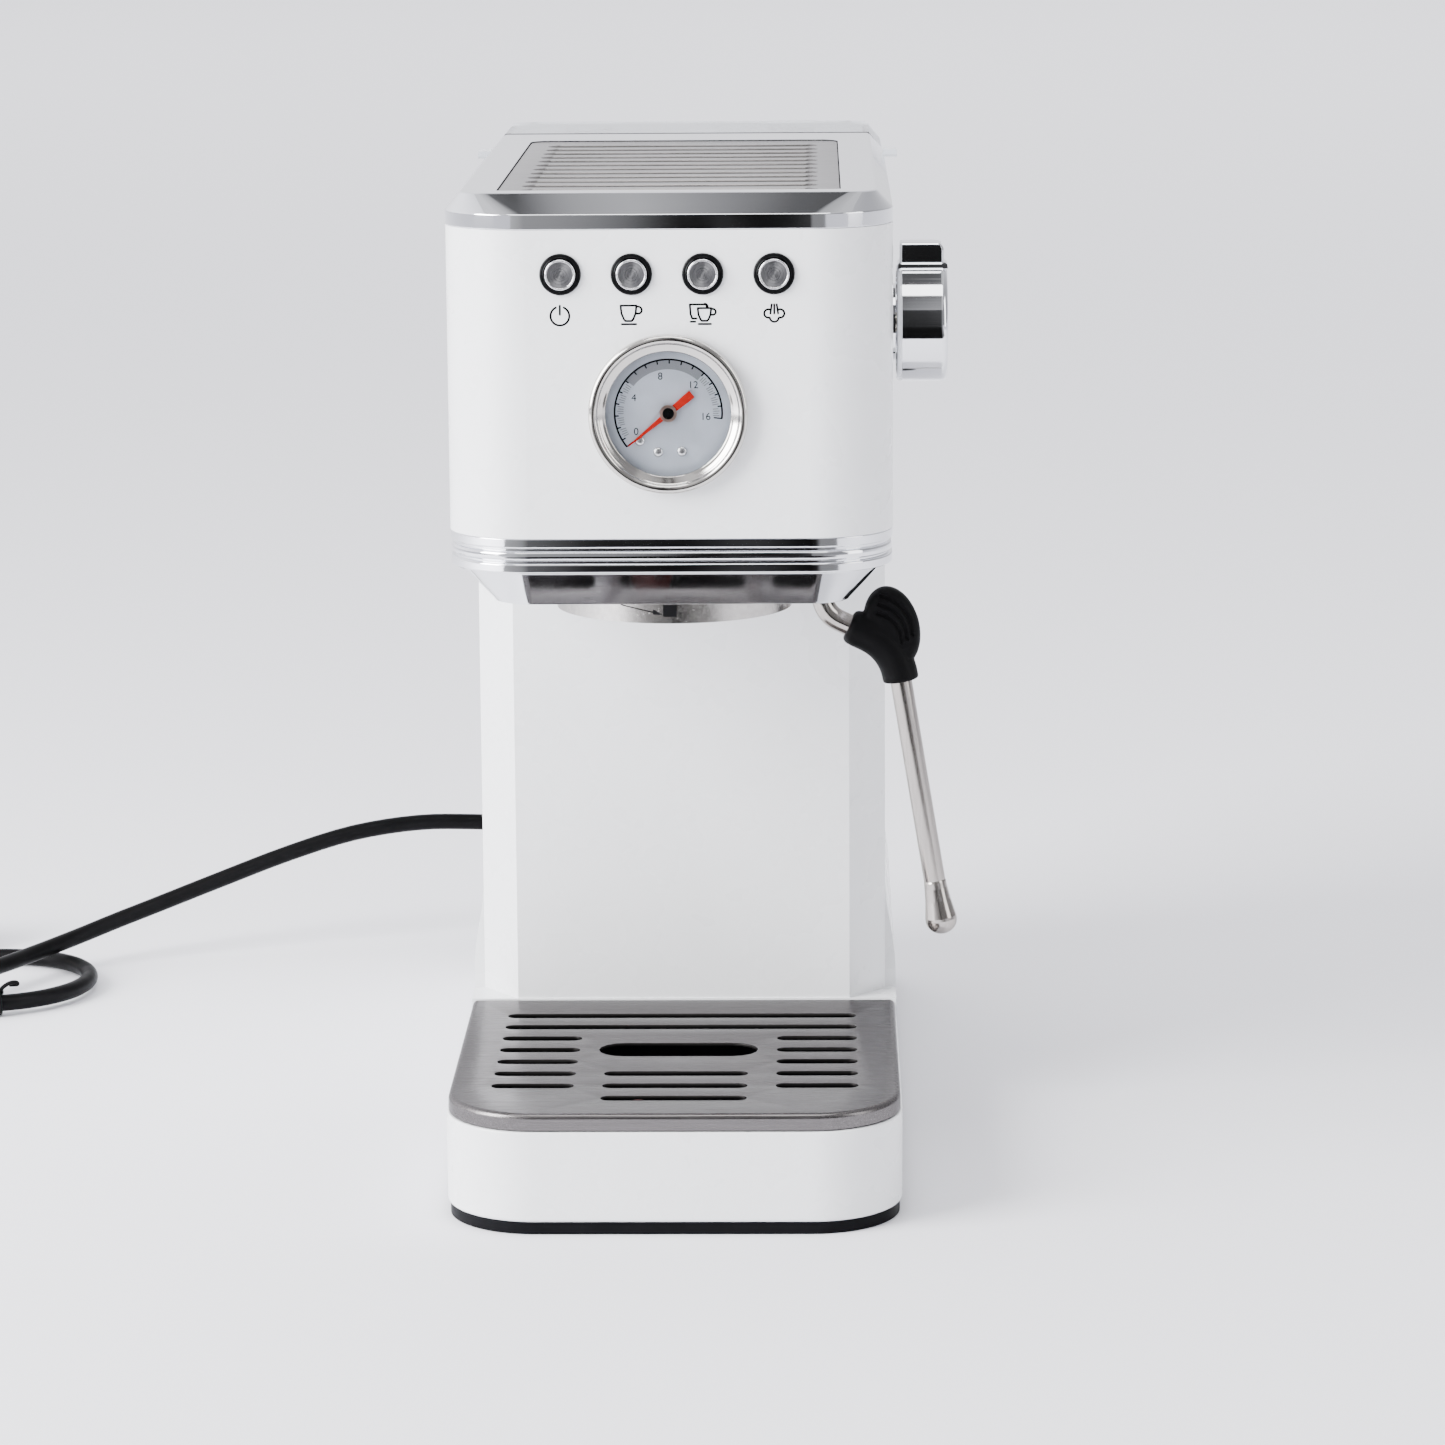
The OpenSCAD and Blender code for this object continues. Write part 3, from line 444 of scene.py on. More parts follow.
# Float red darkened well below its own colour: painted shade of the float under the grid.
FLOAT_RED_SHADED = moulded("float_red", (0.07, 0.005, 0.004), 0.4, 900, 0.00002, specular=0.1)
NEEDLE_RED = moulded("needle_red", (0.55, 0.014, 0.006), 0.5, 900, 0.00001, specular=0.1)
INK = moulded("ink", (0.004, 0.004, 0.005), 0.6, 900, 0.00001, specular=0.1)
BAND_GREY = moulded("dial_band", (0.28, 0.29, 0.31), 0.5, 900, 0.00001)
DIAL = moulded("dial_face", (0.60, 0.64, 0.70), 0.42, 1200, 0.00001, 0.2)
HUB = brushed("hub_brass", (0.50, 0.36, 0.30), (1, 1, 1), 0.35, 900, 0.0)
GLASS = clear("gauge_glass", (0.97, 0.98, 1.0), 0.02)
CLEAR = clear("clear_plastic", (0.90, 0.94, 0.97), 0.05)
ALUMINIUM = brushed("cast_aluminium", (0.50, 0.51, 0.52), (1, 1, 1), 0.45, 700, 0.0)
BRASS = brushed("machined_brass", (0.70, 0.52, 0.25), (1, 1, 1), 0.3, 900, 0.0)
NICKEL = polished("nickel_pins", (0.70, 0.68, 0.62), 0.15)
COPPER = polished("copper", (0.72, 0.38, 0.22), 0.2)
HOSE = moulded("hose_white", (0.75, 0.75, 0.72), 0.4, 600, 0.00002)
BOARD = moulded("board_green", (0.02, 0.16, 0.06), 0.4, 600, 0.00002)
PUMP = moulded("pump_grey", (0.30, 0.31, 0.33), 0.45)

NODE_LOOKS = {
    WHITE: ["body_shell", "head_shell", "drip_tray"],
    PANEL: ["rear_panel"],
    CHROME: ["lower_trim", "head_skirt", "top_cover", "valve_escutcheon", "steam_knob"],
    BEZEL: ["gauge_bezel"],
    GRID_STEEL_SHADED: ["drip_grid"],
    COLLAR: ["group_collar"],
    BRUSHED_PLATE: ["cup_plate"],
    SPUN: ["power_button", "one_cup_button", "two_cup_button", "steam_button"],
    TUBE_STEEL: ["wand_tube", "wand_tip"],
    STEEL: [
        "wand_ball", "shower_screen", "screen_screw", "dial_screws",
        "lid_pins", "panel_screws", "base_screws",
    ],
    BLACK: ["base_plate", "button_bezels", "tank_coupling", "tank_valve", "gauge_case"],
    RUBBER: ["feet", "wand_grip", "pump_mounts"],
    CORD_BLACK: ["power_cord", "cord_hank", "cord_tail", "strain_relief", "plug_body"],
    GASKET: ["group_gasket"],
    FLOAT_RED_SHADED: ["tray_float"],
    NEEDLE_RED: ["gauge_needle"],
    HUB: ["needle_hub"],
    DIAL: ["gauge_dial"],
    GLASS: ["gauge_glass"],
    CLEAR: ["water_tank", "tank_lid"],
    ALUMINIUM: ["brew_head", "thermoblock"],
    BRASS: ["relief_valve", "steam_valve", "wand_socket"],
    NICKEL: ["plug_pins", "valve_stem"],
    COPPER: ["steam_pipe"],
    HOSE: ["inlet_hose", "pressure_hose"],
    BOARD: ["control_board"],
    PUMP: ["pump"],
}


def dress(piece, material):
    piece.data.materials.clear()
    piece.data.materials.append(material)


def soften(piece, width, segments=3):
    """Small round edges on a CAD node."""
    bevel = piece.modifiers.new("soft_edges", "BEVEL")
    bevel.width = width * MM
    bevel.segments = segments
    bevel.limit_method = "ANGLE"
    bevel.angle_limit = SHARP


for material, nodes in NODE_LOOKS.items():
    for node in nodes:
        set_shading(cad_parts[node].data)
        dress(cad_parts[node], material)


def finish_piece(piece, material, body, slot, *nodes):
    """Material, body and replaced CAD nodes of a new piece. The record slot argument is not used."""
    dress(piece, material)
    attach(piece, body)
    if nodes:
        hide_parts(*nodes)


finish_piece(mains_lead, CORD_BLACK, "machine", "cord_black", "power_cord", "cord_hank", "cord_tail")


# ---- painted and plated shells

def front_path(w, y0, y1, r, steps=20):
    """Line round the front, from the left end at y1 over two round corners to the right end."""
    h = w / 2
    left = arc(-h + r, y0 + r, r, 180, 270, steps)
    right = arc(h - r, y0 + r, r, 270, 360, steps)
    return [(-h, y1)] + left + right + [(h, y1)]


def open_wall(profile, w, y0, y1, rf):
    """Wall with a closed profile of (inset, height) that runs round the front, open at the back."""
    eased = held([[point] for point in profile], 0.1, True)
    levels = [at_height(front_path(w - 2 * inset, y0 + inset, y1, max(rf - inset, 0.3)), z)
              for [(inset, z)] in eased]
    return loft(list(zip(*levels)))


def filled(rings_outer, holes, z_up=True):
    """Flat face with holes between closed rings, as a vertex and face list."""
    flat = bmesh.new()
    edges = []
    for ring in [rings_outer, *holes]:
        corners = [flat.verts.new(p) for p in ring]
        edges += [flat.edges.new((corners[k - 1], corners[k])) for k in range(len(corners))]
    bmesh.ops.triangle_fill(flat, use_beauty=True, edges=edges, normal=(0, 0, 1 if z_up else -1))
    flat.verts.index_update()
    made = [tuple(v.co) for v in flat.verts], [tuple(v.index for v in f.verts) for f in flat.faces]
    flat.free()
    return made


def stadium(x0, x1, y, half, z, steps=8):
    """Ring of a slot with round ends."""
    return at_height(arc(x1 - half, y, half, -90, 90, steps) + arc(x0 + half, y, half, 90, 270, steps), z)


# Drip tray: rounded wall, ledge for the grid, basin and float well
tray_low, tray_high = box_mm("drip_tray")
grid_low, grid_high = box_mm("drip_grid")
TRAY_W = tray_high.x - tray_low.x
TRAY_R = 28.0
TRAY_WALL_TOP = grid_low.z - 0.2
LEDGE = 2.5
tray_profile = (
    [(1.2, tray_low.z)]
    + [(1.2 - x, z) for x, z in arc(0, tray_low.z + 1.2, 1.2, 270, 360, 4)]
    + [(0.6 - x, z) for x, z in arc(0, TRAY_WALL_TOP - 0.6, 0.6, 0, 90, 4)]
    + [(LEDGE, TRAY_WALL_TOP), (LEDGE, tray_high.z - 0.4), (LEDGE + 0.4, tray_high.z)]
    + [(LEDGE + 1.1, tray_high.z), (LEDGE + 1.5, tray_high.z - 0.4)]
    + [(LEDGE + 1.5, tray_low.z + 4), (LEDGE + 3.5, tray_low.z + 2)]
)
tray_shell = loft(held(wall_rings(tray_profile, TRAY_W, tray_low.y, tray_high.y, TRAY_R, 2.0)))
float_centre = centre_of("tray_float")
WELL_TOP = 18.0
well_profile = [(9.4, WELL_TOP - 0.4), (9.0, WELL_TOP), (8.4, WELL_TOP), (8.0, WELL_TOP - 0.4)]
well_profile = [(9.4, tray_low.z + 1), *well_profile, (8.0, tray_low.z + 1)]
float_well = loft([circle(float_centre.x, float_centre.y, r, z, 48) for r, z in well_profile], loop=True)
drip_tray = add_object("tray_shell", *merged([tray_shell, float_well]))
finish_piece(drip_tray, WHITE, "drip_tray", "painted_shell", "drip_tray")


def depth_in_tray(x, y):
    """How far a point lies inside the tray's rounded outline."""
    side = TRAY_W / 2 - abs(x)
    front = y - tray_low.y
    if side < TRAY_R and front < TRAY_R:
        return TRAY_R - math.hypot(TRAY_R - side, TRAY_R - front)
    return min(side, front, tray_high.y - y)


def paint_inside(piece, material, test):
    """Second material on the faces whose centre, in millimetres, passes a test."""
    piece.data.materials.append(material)
    for face in piece.data.polygons:
        face.material_index = int(test(face.center / MM))


paint_inside(drip_tray, BLACK, lambda at: depth_in_tray(at.x, at.y) > LEDGE + 1.2 and at.z > tray_low.z + 0.5)

# Drip grid: a pressed plate with a rolled rim and soft-edged slots
GRID_EDGE = 1.7
GRID_T = 1.0
GRID_INSET = GRID_EDGE + 1.6
SLOT_HALF = 2.5
SLOT_PITCH = 14.36
FIRST_ROW = tray_low.y + 19.2
grid_w = grid_high.x - grid_low.x
grid_top = grid_high.z
rim_profile = (
    [(1.3, grid_low.z + 0.3), (1.0, grid_low.z), (0.3, grid_low.z), (0, grid_low.z + 0.3)]
    + [(GRID_EDGE - x, z) for x, z in arc(0, grid_top - GRID_EDGE, GRID_EDGE, 0, 90, 6)]
    + [(GRID_INSET, grid_top)]
)
grid_under = grid_top - GRID_T
under_profile = [(GRID_INSET, grid_under), (GRID_EDGE, grid_under), (1.3, grid_under - 0.4)]
under_profile.append((1.3, grid_low.z + 0.3))
plan = (grid_w, grid_low.y, grid_high.y, TRAY_R - 0.6, 1.6)
rim = loft(held(wall_rings(rim_profile, *plan)), False, False)
under_rim = loft(wall_rings(under_profile, *plan), False, False)
SLOT_OUT, SLOT_IN, SLOT_MID = 56.4, 31.3, 22.2
spans = [(k, *span) for k in range(1, 6) for span in [(-SLOT_OUT, -SLOT_IN), (SLOT_IN, SLOT_OUT)]]
spans += [(k, -SLOT_OUT, SLOT_OUT) for k in (6, 7)] + [(k, -SLOT_MID, SLOT_MID) for k in range(3)]
slots = [(x0, x1, FIRST_ROW + SLOT_PITCH * k, SLOT_HALF) for k, x0, x1 in spans]
slots.append((-25.0, 25.0, tray_low.y + 77, 8.0))  # finger hole
slot_profile = [(0.5, 0), (0.22, 0.08), (0.05, 0.28), (0, 0.5), (0, GRID_T)]
slot_walls, top_holes, under_holes = [], [], []
for x0, x1, y, half in slots:
    rings = [stadium(x0 - grow, x1 + grow, y, half + grow, grid_top - drop) for grow, drop in slot_profile]
    slot_walls.append(loft(rings, False, False))
    top_holes.append(rings[0])
    under_holes.append(rings[-1])
top_ring = wall_rings([rim_profile[-1]], *plan)[0]
under_ring = wall_rings([under_profile[0]], *plan)[0]
grid_faces = [filled(top_ring, top_holes), filled(under_ring, under_holes, False)]
drip_grid = add_object("grid_plate", *merged([rim, under_rim, *slot_walls, *grid_faces]))
# dark grid steel: painted shade under the head
finish_piece(drip_grid, GRID_STEEL_SHADED, "drip_grid", "brushed_steel", "drip_grid")
# The slot walls and the underside get the near-black steel: painted shade seen through the slots.
paint_inside(drip_grid, SLOT_SHADE,
             lambda at: depth_in_tray(at.x, at.y) > GRID_INSET + 1 and at.z < grid_top - 0.12)

# Ribbed chrome trim round the head's lower edge
head_low, head_high = box_mm("head_shell")
HEAD_W = head_high.x - head_low.x
HEAD_R = 25.0
HEAD_Y = head_low.y
upper_rib = [(3.2, 209.3), (0.35, 209.3), (0.1, 209.0), (0.1, 206.7), (0.25, 206.4), (0.6, 206.2)]
RIB_Z = 203.8
TRIM_BACK = box_mm("lower_trim")[1].y
half_rib = [(1.3, 1.5), (0.95, 1.4), (0.62, 1.15), (0.42, 0.7)]
under_half = [(inset, -z) for inset, z in reversed(half_rib)]
middle_rib = [(1.3, 2.3), *half_rib, (0.36, 0), *under_half, (1.3, -2.1)]
lower_rib = [(0.6, 201.6), (0.32, 201.4), (0.2, 201.1), (0.2, 199.1), (0.32, 198.8), (0.6, 198.6)]
lower_rib.append((3.2, 198.6))
trim_profile = upper_rib + [(inset, RIB_Z + z) for inset, z in middle_rib] + lower_rib
trim = add_object("ribbed_trim", *open_wall(trim_profile, HEAD_W, HEAD_Y, TRIM_BACK, HEAD_R), angle=EASED)
finish_piece(trim, CHROME, "machine", "chrome", "lower_trim")

# Sloping chrome skirt with a flat floor
skirt_low, skirt_high = box_mm("head_skirt")
GROUP = Vector((0, centre_of("group_collar").y, 0))
COLLAR_R = 36.5
WAND = Vector((45.9, -78.0, 0))
skirt_rings = [at_height(front_path(w, skirt_low.y + inset, skirt_high.y, r), z) for w, inset, r, z in [
    (128, 0, 21.5, skirt_high.z),
    (127.8, 0.1, 21.4, skirt_high.z - 0.5),
    (108.8, 9.8, 12.4, skirt_low.z + 0.5),
    (108.4, 10.0, 12.2, skirt_low.z + 0.12),
    (107.9, 10.2, 12.0, skirt_low.z),
]]
skirt_wall = loft(held(skirt_rings), False, False)
collar_hole = circle(GROUP.x, GROUP.y, COLLAR_R - 0.8, skirt_low.z)
skirt_floor = filled(skirt_rings[-1], [collar_hole, circle(WAND.x, WAND.y, 4.6, skirt_low.z, 32)], False)
skirt = add_object("sloping_skirt", *merged([skirt_wall, skirt_floor]), angle=EASED)
finish_piece(skirt, CHROME, "machine", "chrome", "head_skirt")

# Printed square and arrow on the front of the collar
MARK_R = COLLAR_R + 0.04


def mark(stations):
    """Thin printed patch round the collar, through (x, upper drop, lower drop) below the skirt."""
    rings = []
    for x, upper, lower in stations:
        corners = [(MARK_R, upper), (MARK_R, lower), (MARK_R - 0.3, lower), (MARK_R - 0.3, upper)]
        rings.append([(x, GROUP.y - math.sqrt(r * r - x * x), skirt_low.z - drop) for r, drop in corners])
    return loft(rings)


square = mark([(-2.5 + 4.1 * k / 6, 0.3, 3.9) for k in range(7)])
shaft = mark([(-15.5 + k, 0.5 + 0.19 * k, 0.85 + 0.19 * k) for k in range(11)])
arrow_head = mark([(-5.6 + 0.7 * k, 1.6 + 0.42 * k, 3.3) for k in range(5)])
collar_mark = add_object("collar_mark", *merged([square, shaft, arrow_head]))
finish_piece(collar_mark, INK, "machine", "black_plastic")

# Chrome top cover: upright band, wide chamfer, opening for the cup plate
cover_low, cover_high = box_mm("top_cover")
plate_low, plate_high = box_mm("cup_plate")
PLATE_W = plate_high.x - plate_low.x
BAND_TOP = 306.5
COVER_IN = 10.4


def cover_ring(w, y0, r, z, inset=0.0, rb=0.6):
    return at_height(outline(w - 2 * inset, y0 + inset, cover_high.y - inset, max(r - inset, 0.3), rb), z)


def plate_ring(grow, z, rf=2.0, rb=7.0):
    """Ring that stands out of the cup plate's outline, or in where grow is below zero."""
    return at_height(outline(PLATE_W + 2 * grow, plate_low.y - grow, plate_high.y + grow, rf, rb), z)


top_w, top_y = 125.0, cover_low.y + COVER_IN
band = [(2.0, cover_low.z), (0.3, cover_low.z), (0, cover_low.z + 0.3), (0, BAND_TOP - 0.15)]
opening = [(0.5, 0), (0.25, 0.1), (0.2, 1.8), (-3.0, 1.8), (-3.0, 3.0)]
cover_rings = [
    *[cover_ring(HEAD_W, cover_low.y, HEAD_R, z, inset) for inset, z in band],
    cover_ring(HEAD_W - 0.3, cover_low.y + 0.3, HEAD_R - 0.45, BAND_TOP + 0.15),
    cover_ring(top_w + 0.5, top_y - 0.5, 9.4, cover_high.z - 0.3),
    cover_ring(top_w - 0.4, top_y + 0.1, 8.8, cover_high.z - 0.04),
    cover_ring(top_w - 1.2, top_y + 0.5, 8.4, cover_high.z),
    *[plate_ring(grow, cover_high.z - drop) for grow, drop in opening],
    cover_ring(HEAD_W, cover_low.y, HEAD_R, BAND_TOP - 1.5, 2.0),
]
cover = add_object("cover_shell", *loft(held(cover_rings, 0.12, True), loop=True), angle=EASED)
finish_piece(cover, CHROME, "machine", "chrome", "top_cover")


def in_opening(at):
    """True inside the cover's opening for the cup plate, below its rim."""
    across = abs(at.x) < PLATE_W / 2 + 0.45 and plate_low.y - 0.45 < at.y < plate_high.y + 0.45
    return across and cover_high.z - 4 < at.z < cover_high.z - 0.12


paint_inside(cover, BLACK, in_opening)

# Cup-warming plate with scooped grooves
PLATE_TOP = cover_high.z - 0.35  # it lies a little below the chrome round it
GROOVE_X = 45.0
GROOVE_END = 4.0
GROOVE_DEPTH = 0.8
GROOVE_HALF = 4.2
GROOVE_PITCH = 15.33
GROOVE_COUNT = 12
FIRST_GROOVE = tray_low.y + 48.9


def scoop(t):
    """Depth across a groove, from -1 at its near edge to 1 at its far edge."""
    rise = 0.72
    if abs(t) >= 1:
        return 0.0
    if t < rise:
        return math.sin(math.pi / 2 * (t + 1) / (1 + rise)) ** 1.6
    return 1 - ((t - rise) / (1 - rise)) ** 2


def plate_height(x, y):
    nearest = min(max(round((y - FIRST_GROOVE) / GROOVE_PITCH), 0), GROOVE_COUNT - 1)
    over_end = max(abs(x) - (GROOVE_X - GROOVE_END), 0) / GROOVE_END
    if over_end >= 1:
        return PLATE_TOP
    width = GROOVE_HALF * math.sqrt(1 - over_end ** 2)
    t = (y - FIRST_GROOVE - nearest * GROOVE_PITCH) / width
    return PLATE_TOP - GROOVE_DEPTH * (width / GROOVE_HALF) * scoop(t)


end_x = [GROOVE_X - GROOVE_END + GROOVE_END * math.sin(math.pi / 2 * k / 7) for k in range(8)]
grid_x = sorted({round(s * x, 4) for x in end_x + [0, 20, GROOVE_X + 0.5] for s in (-1, 1)})
across = [GROOVE_HALF * t / 10 for t in range(-10, 11)]
grid_y = [FIRST_GROOVE + k * GROOVE_PITCH + t for k in range(GROOVE_COUNT) for t in across]
grid_y = [plate_low.y + 1.5] + grid_y + [grid_y[-1] + 4]
columns, rows = len(grid_x), len(grid_y)
field = (
    [(x, y, plate_height(x, y)) for y in grid_y for x in grid_x],
    [(j * columns + i, j * columns + i + 1, (j + 1) * columns + i + 1, (j + 1) * columns + i)
     for j in range(rows - 1) for i in range(columns - 1)],
)
border = [(x, grid_y[0]) for x in grid_x] + [(grid_x[-1], y) for y in grid_y[1:]]
border += [(x, grid_y[-1]) for x in grid_x[-2::-1]] + [(grid_x[0], y) for y in grid_y[-2:0:-1]]
plate_levels = [(-0.3, PLATE_TOP), (-0.08, PLATE_TOP - 0.1), (0, PLATE_TOP - 0.3), (0, plate_low.z)]
plate_rings = [plate_ring(grow, z, 1.8, 6.8) for grow, z in plate_levels]
plate_rim = filled(plate_rings[0], [at_height(border, PLATE_TOP)])
cup_plate = add_object("grooved_plate", *merged([field, plate_rim, loft(plate_rings, False, True)]))
finish_piece(cup_plate, BRUSHED_PLATE, "machine", "brushed_steel", "cup_plate")

# Painted shadow of the gap between the cover and the tank lid: a black rubber strip along the lid's front
# edge, which follows its top and its sloping sides
lid_low = box_mm("tank_lid")[0]
STRIP_W = 3.2
STRIP_OUT = 0.04  # how far it stands out of the lid
lid_side = [(67.0, 303.4), (67.0, 306.5), (62.5, cover_high.z)]
lid_profile = [(-x, z) for x, z in lid_side] + lid_side[::-1]


def gap_strip_ring(point):
    """Section of the painted gap-shadow strip at a point of the lid's outline. Its inner side lies nearer the
    lid's middle.
    """
    x, z = point
    reach = math.hypot(x, z - lid_low.z)
    out = 1 + STRIP_OUT / reach
    inner = 1 - 1.0 / reach
    front, back = lid_low.y - 0.3, lid_low.y + STRIP_W
    corners = [(out, front), (out, back), (inner, back), (inner, front)]
    return [(x * scale, y, lid_low.z + (z - lid_low.z) * scale) for scale, y in corners]


# painted shadow: a black strip where the gap between cover and lid lies in shade
lid_gap_shade_strip = add_object("lid_gap_shade_strip", *loft([gap_strip_ring(point) for point in lid_profile]))
finish_piece(lid_gap_shade_strip, RUBBER, "tank_lid", "black_rubber")

# ---- controls

FACE = HEAD_Y
TOWARDS_FRONT = (0, -1, 0)
BUTTONS = ["power_button", "one_cup_button", "two_cup_button", "steam_button"]
BUTTON_Z = centre_of("power_button").z
CAP_FRONT = FACE - box_mm("power_button")[0].y
CAP_R = 4.6
RING_R = 6.2


def shifted(r, height, *points):
    """Profile points given from a radius and a height."""
    return [(r + dr, height + dh) for dr, dh in points]


cap_profile = [(0, CAP_FRONT - 0.55), (0.8, CAP_FRONT - 0.5)]
cap_profile += shifted(CAP_R, CAP_FRONT, (-0.75, -0.22), (-0.72, -1.2)) + [(0, CAP_FRONT - 1.2)]
rim_section = shifted(CAP_R, CAP_FRONT, (-0.7, -0.2), (-0.55, -0.04), (-0.35, 0), (-0.1, -0.12), (0, -0.45))
rim_section += shifted(CAP_R, 0, (0, -3.4), (-0.3, -3.6), (-0.7, -3.6))
ring_section = shifted(RING_R, 0, (0, 0), (0, 0.55), (-0.16, 0.88), (-0.5, 1.06), (-0.85, 1.06))
ring_section += shifted(CAP_R, 0, (0.28, 0.75), (0.07, 0.3), (0.07, -3.9), (0.6, -3.9), (0.6, 0))
for name in BUTTONS:
    at = (centre_of(name).x, FACE, BUTTON_Z)
    cap = turned_object(name + "_cap", cap_profile, at, TOWARDS_FRONT)
    finish_piece(cap, SPUN, name, "brushed_steel")
    rim = turned_object(name + "_rim", rim_section, at, TOWARDS_FRONT, closed=True)
    finish_piece(rim, RIM_CHROME, name, "brushed_steel", name)
    ring = turned_object(name + "_ring", ring_section, at, TOWARDS_FRONT, closed=True)
    finish_piece(ring, GLOSS_BLACK, "machine", "black_plastic", "button_bezels")

# Pressure gauge
bezel_low, bezel_high = box_mm("gauge_bezel")
GAUGE = Vector((0, FACE, (bezel_low.z + bezel_high.z) / 2))
GAUGE_R = (bezel_high.x - bezel_low.x) / 2
BEZEL_H = FACE - bezel_low.y
ROLL = 1.4
DIAL_R = box_mm("gauge_glass")[1].x + 0.1
bezel_section = (
    shifted(GAUGE_R, 0, (-0.2, 0), (0, 0.2))
    + arc(GAUGE_R - ROLL, BEZEL_H - ROLL, ROLL, 0, 160, 16)
    + shifted(GAUGE_R - 2 * ROLL, BEZEL_H - ROLL, (-0.1, 0.15), (-0.5, 0))
    + shifted(DIAL_R, 0, (0.9, 2.05), (0.2, 1.75), (0, 1.6), (0, 0.1), (0.6, 0))
)
bezel = turned_object("gauge_ring", bezel_section, GAUGE, TOWARDS_FRONT, 160, closed=True)
finish_piece(bezel, BEZEL, "machine", "chrome", "gauge_bezel")
glass_section = [(0, 1.5), (DIAL_R - 1.5, 1.48), (DIAL_R - 0.15, 1.35), (DIAL_R - 0.15, 0.55), (0, 0.55)]
glass = turned_object("gauge_window", glass_section, GAUGE, TOWARDS_FRONT)
finish_piece(glass, GLASS, "machine", "clear_glass", "gauge_glass")

INK_T = 0.04
DIAL_FACE = box_mm("gauge_dial")[0].y


def slab(ring, y, thick, fronts):
    """Flat form that stands out of the plane at y, from its outline in (x, z) and its front faces."""
    n = len(ring)
    vertices = [(a, level, b) for level in (y - thick, y) for a, b in ring]
    backs = [tuple(i + n for i in reversed(face)) for face in fronts]
    return vertices, fronts + backs + [(k, (k + 1) % n, n + (k + 1) % n, n + k) for k in range(n)]


def sector(r0, r1, start, end, steps, centre, y, thick=INK_T):
    """Thin flat ring sector that faces the front, between two angles in degrees."""
    ring = arc(centre.x, centre.z, r1, start, end, steps) + arc(centre.x, centre.z, r0, end, start, steps)
    last = len(ring) - 1
    return slab(ring, y, thick, [(k, k + 1, last - 1 - k, last - k) for k in range(steps)])


def stroke(points, width, y, thick=INK_T, steps=5):
    """Thin flat line of even width with round ends and joints, through (x, z) points."""
    parts = []
    half = width / 2
    for a, b in zip(points, points[1:]):
        a, b = Vector(a), Vector(b)
        turn = math.degrees(math.atan2(b.y - a.y, b.x - a.x))
        ring = arc(b.x, b.y, half, turn - 90, turn + 90, steps)
        ring += arc(a.x, a.y, half, turn + 90, turn + 270, steps)
        parts.append(slab(ring, y, thick, [tuple(range(len(ring)))]))
    return merged(parts)


SCALE_R = 16.1
SCALE_START = 219.0
SCALE_FIRST = 210.3
SCALE_END = -6.2
DIVISIONS = 16
STEP = (SCALE_FIRST - SCALE_END) / DIVISIONS


def radial(r0, r1, angle, width):
    return stroke([GAUGE.xz + on_circle(r, angle) for r in (r0, r1)], width, DIAL_FACE)


marks = [sector(SCALE_R - 0.3, SCALE_R + 0.25, SCALE_END, SCALE_START, 120, GAUGE, DIAL_FACE)]
marks += [radial(SCALE_R - 1.1, SCALE_R, SCALE_FIRST - STEP * k, 0.42) for k in range(DIVISIONS)]
marks += [radial(SCALE_R - 2.3, SCALE_R, angle, 0.4) for angle in (SCALE_START, SCALE_END)]
dial_marks = add_object("dial_marks", *merged(marks))
finish_piece(dial_marks, INK, "machine", "black_plastic")
BAND = (48, 142)
lines = [sector(SCALE_R - 3.0, SCALE_R - 0.3, *BAND, 60, GAUGE, DIAL_FACE, 0.02)]
for k in range(DIVISIONS):
    for part in range(1, 5):
        angle = SCALE_FIRST - STEP * (k + part / 5)
        if not BAND[0] < angle < BAND[1]:
            lines.append(radial(SCALE_R - 2.6, SCALE_R - 0.9 - 0.3 * (part % 2), angle, 0.3))
dial_band = add_object("dial_band", *merged(lines))
finish_piece(dial_band, BAND_GREY, "machine", "black_plastic")


def evaluated_mesh(source):
    """Mesh of an object with its modifiers applied. The object itself is removed."""
    mesh = bpy.data.meshes.new_from_object(source.evaluated_get(bpy.context.evaluated_depsgraph_get()))
    bpy.data.objects.remove(source)
    return mesh


def number(text, angle, r, height):
    """Flat printed number on the dial."""
    font = bpy.data.curves.new("number_" + text, "FONT")
    font.body = text
    font.size = height * MM
    font.extrude = INK_T * MM / 2
    font.align_x = "CENTER"
    font.align_y = "CENTER"
    mesh = evaluated_mesh(link("number_" + text, font))
    x, z = GAUGE.xz + on_circle(r, angle)
    at = Vector((x, DIAL_FACE - INK_T / 2, z)) * MM
    matrix = Matrix.Translation(at) @ Matrix.Rotation(math.radians(90), 4, "X")
    vertices = [(matrix @ v.co) / MM for v in mesh.vertices]
    faces = [tuple(f.vertices) for f in mesh.polygons]
    bpy.data.meshes.remove(mesh)
    return vertices, faces


numbers = [number(str(4 * k), SCALE_FIRST - STEP * 4 * k, SCALE_R - 4.9, 3.1) for k in range(5)]
dial_numbers = add_object("dial_numbers", *merged(numbers))
finish_piece(dial_numbers, INK, "machine", "black_plastic")

# Pan-head screws of the dial
screw_profile = [(1.5, 0), (1.48, 0.25), (1.25, 0.55), (0.75, 0.75), (0.3, 0.8), (0, 0.8)]
for k, (x, z) in enumerate([(-8.6, -8.4), (-3.1, -11.8), (4.0, -11.6)]):
    at = GAUGE + Vector((x, DIAL_FACE - FACE, z))
    head = turned_object(f"dial_screw_{k}", screw_profile, at, TOWARDS_FRONT, 32)
    finish_piece(head, STEEL, "machine", "polished_steel", "dial_screws")

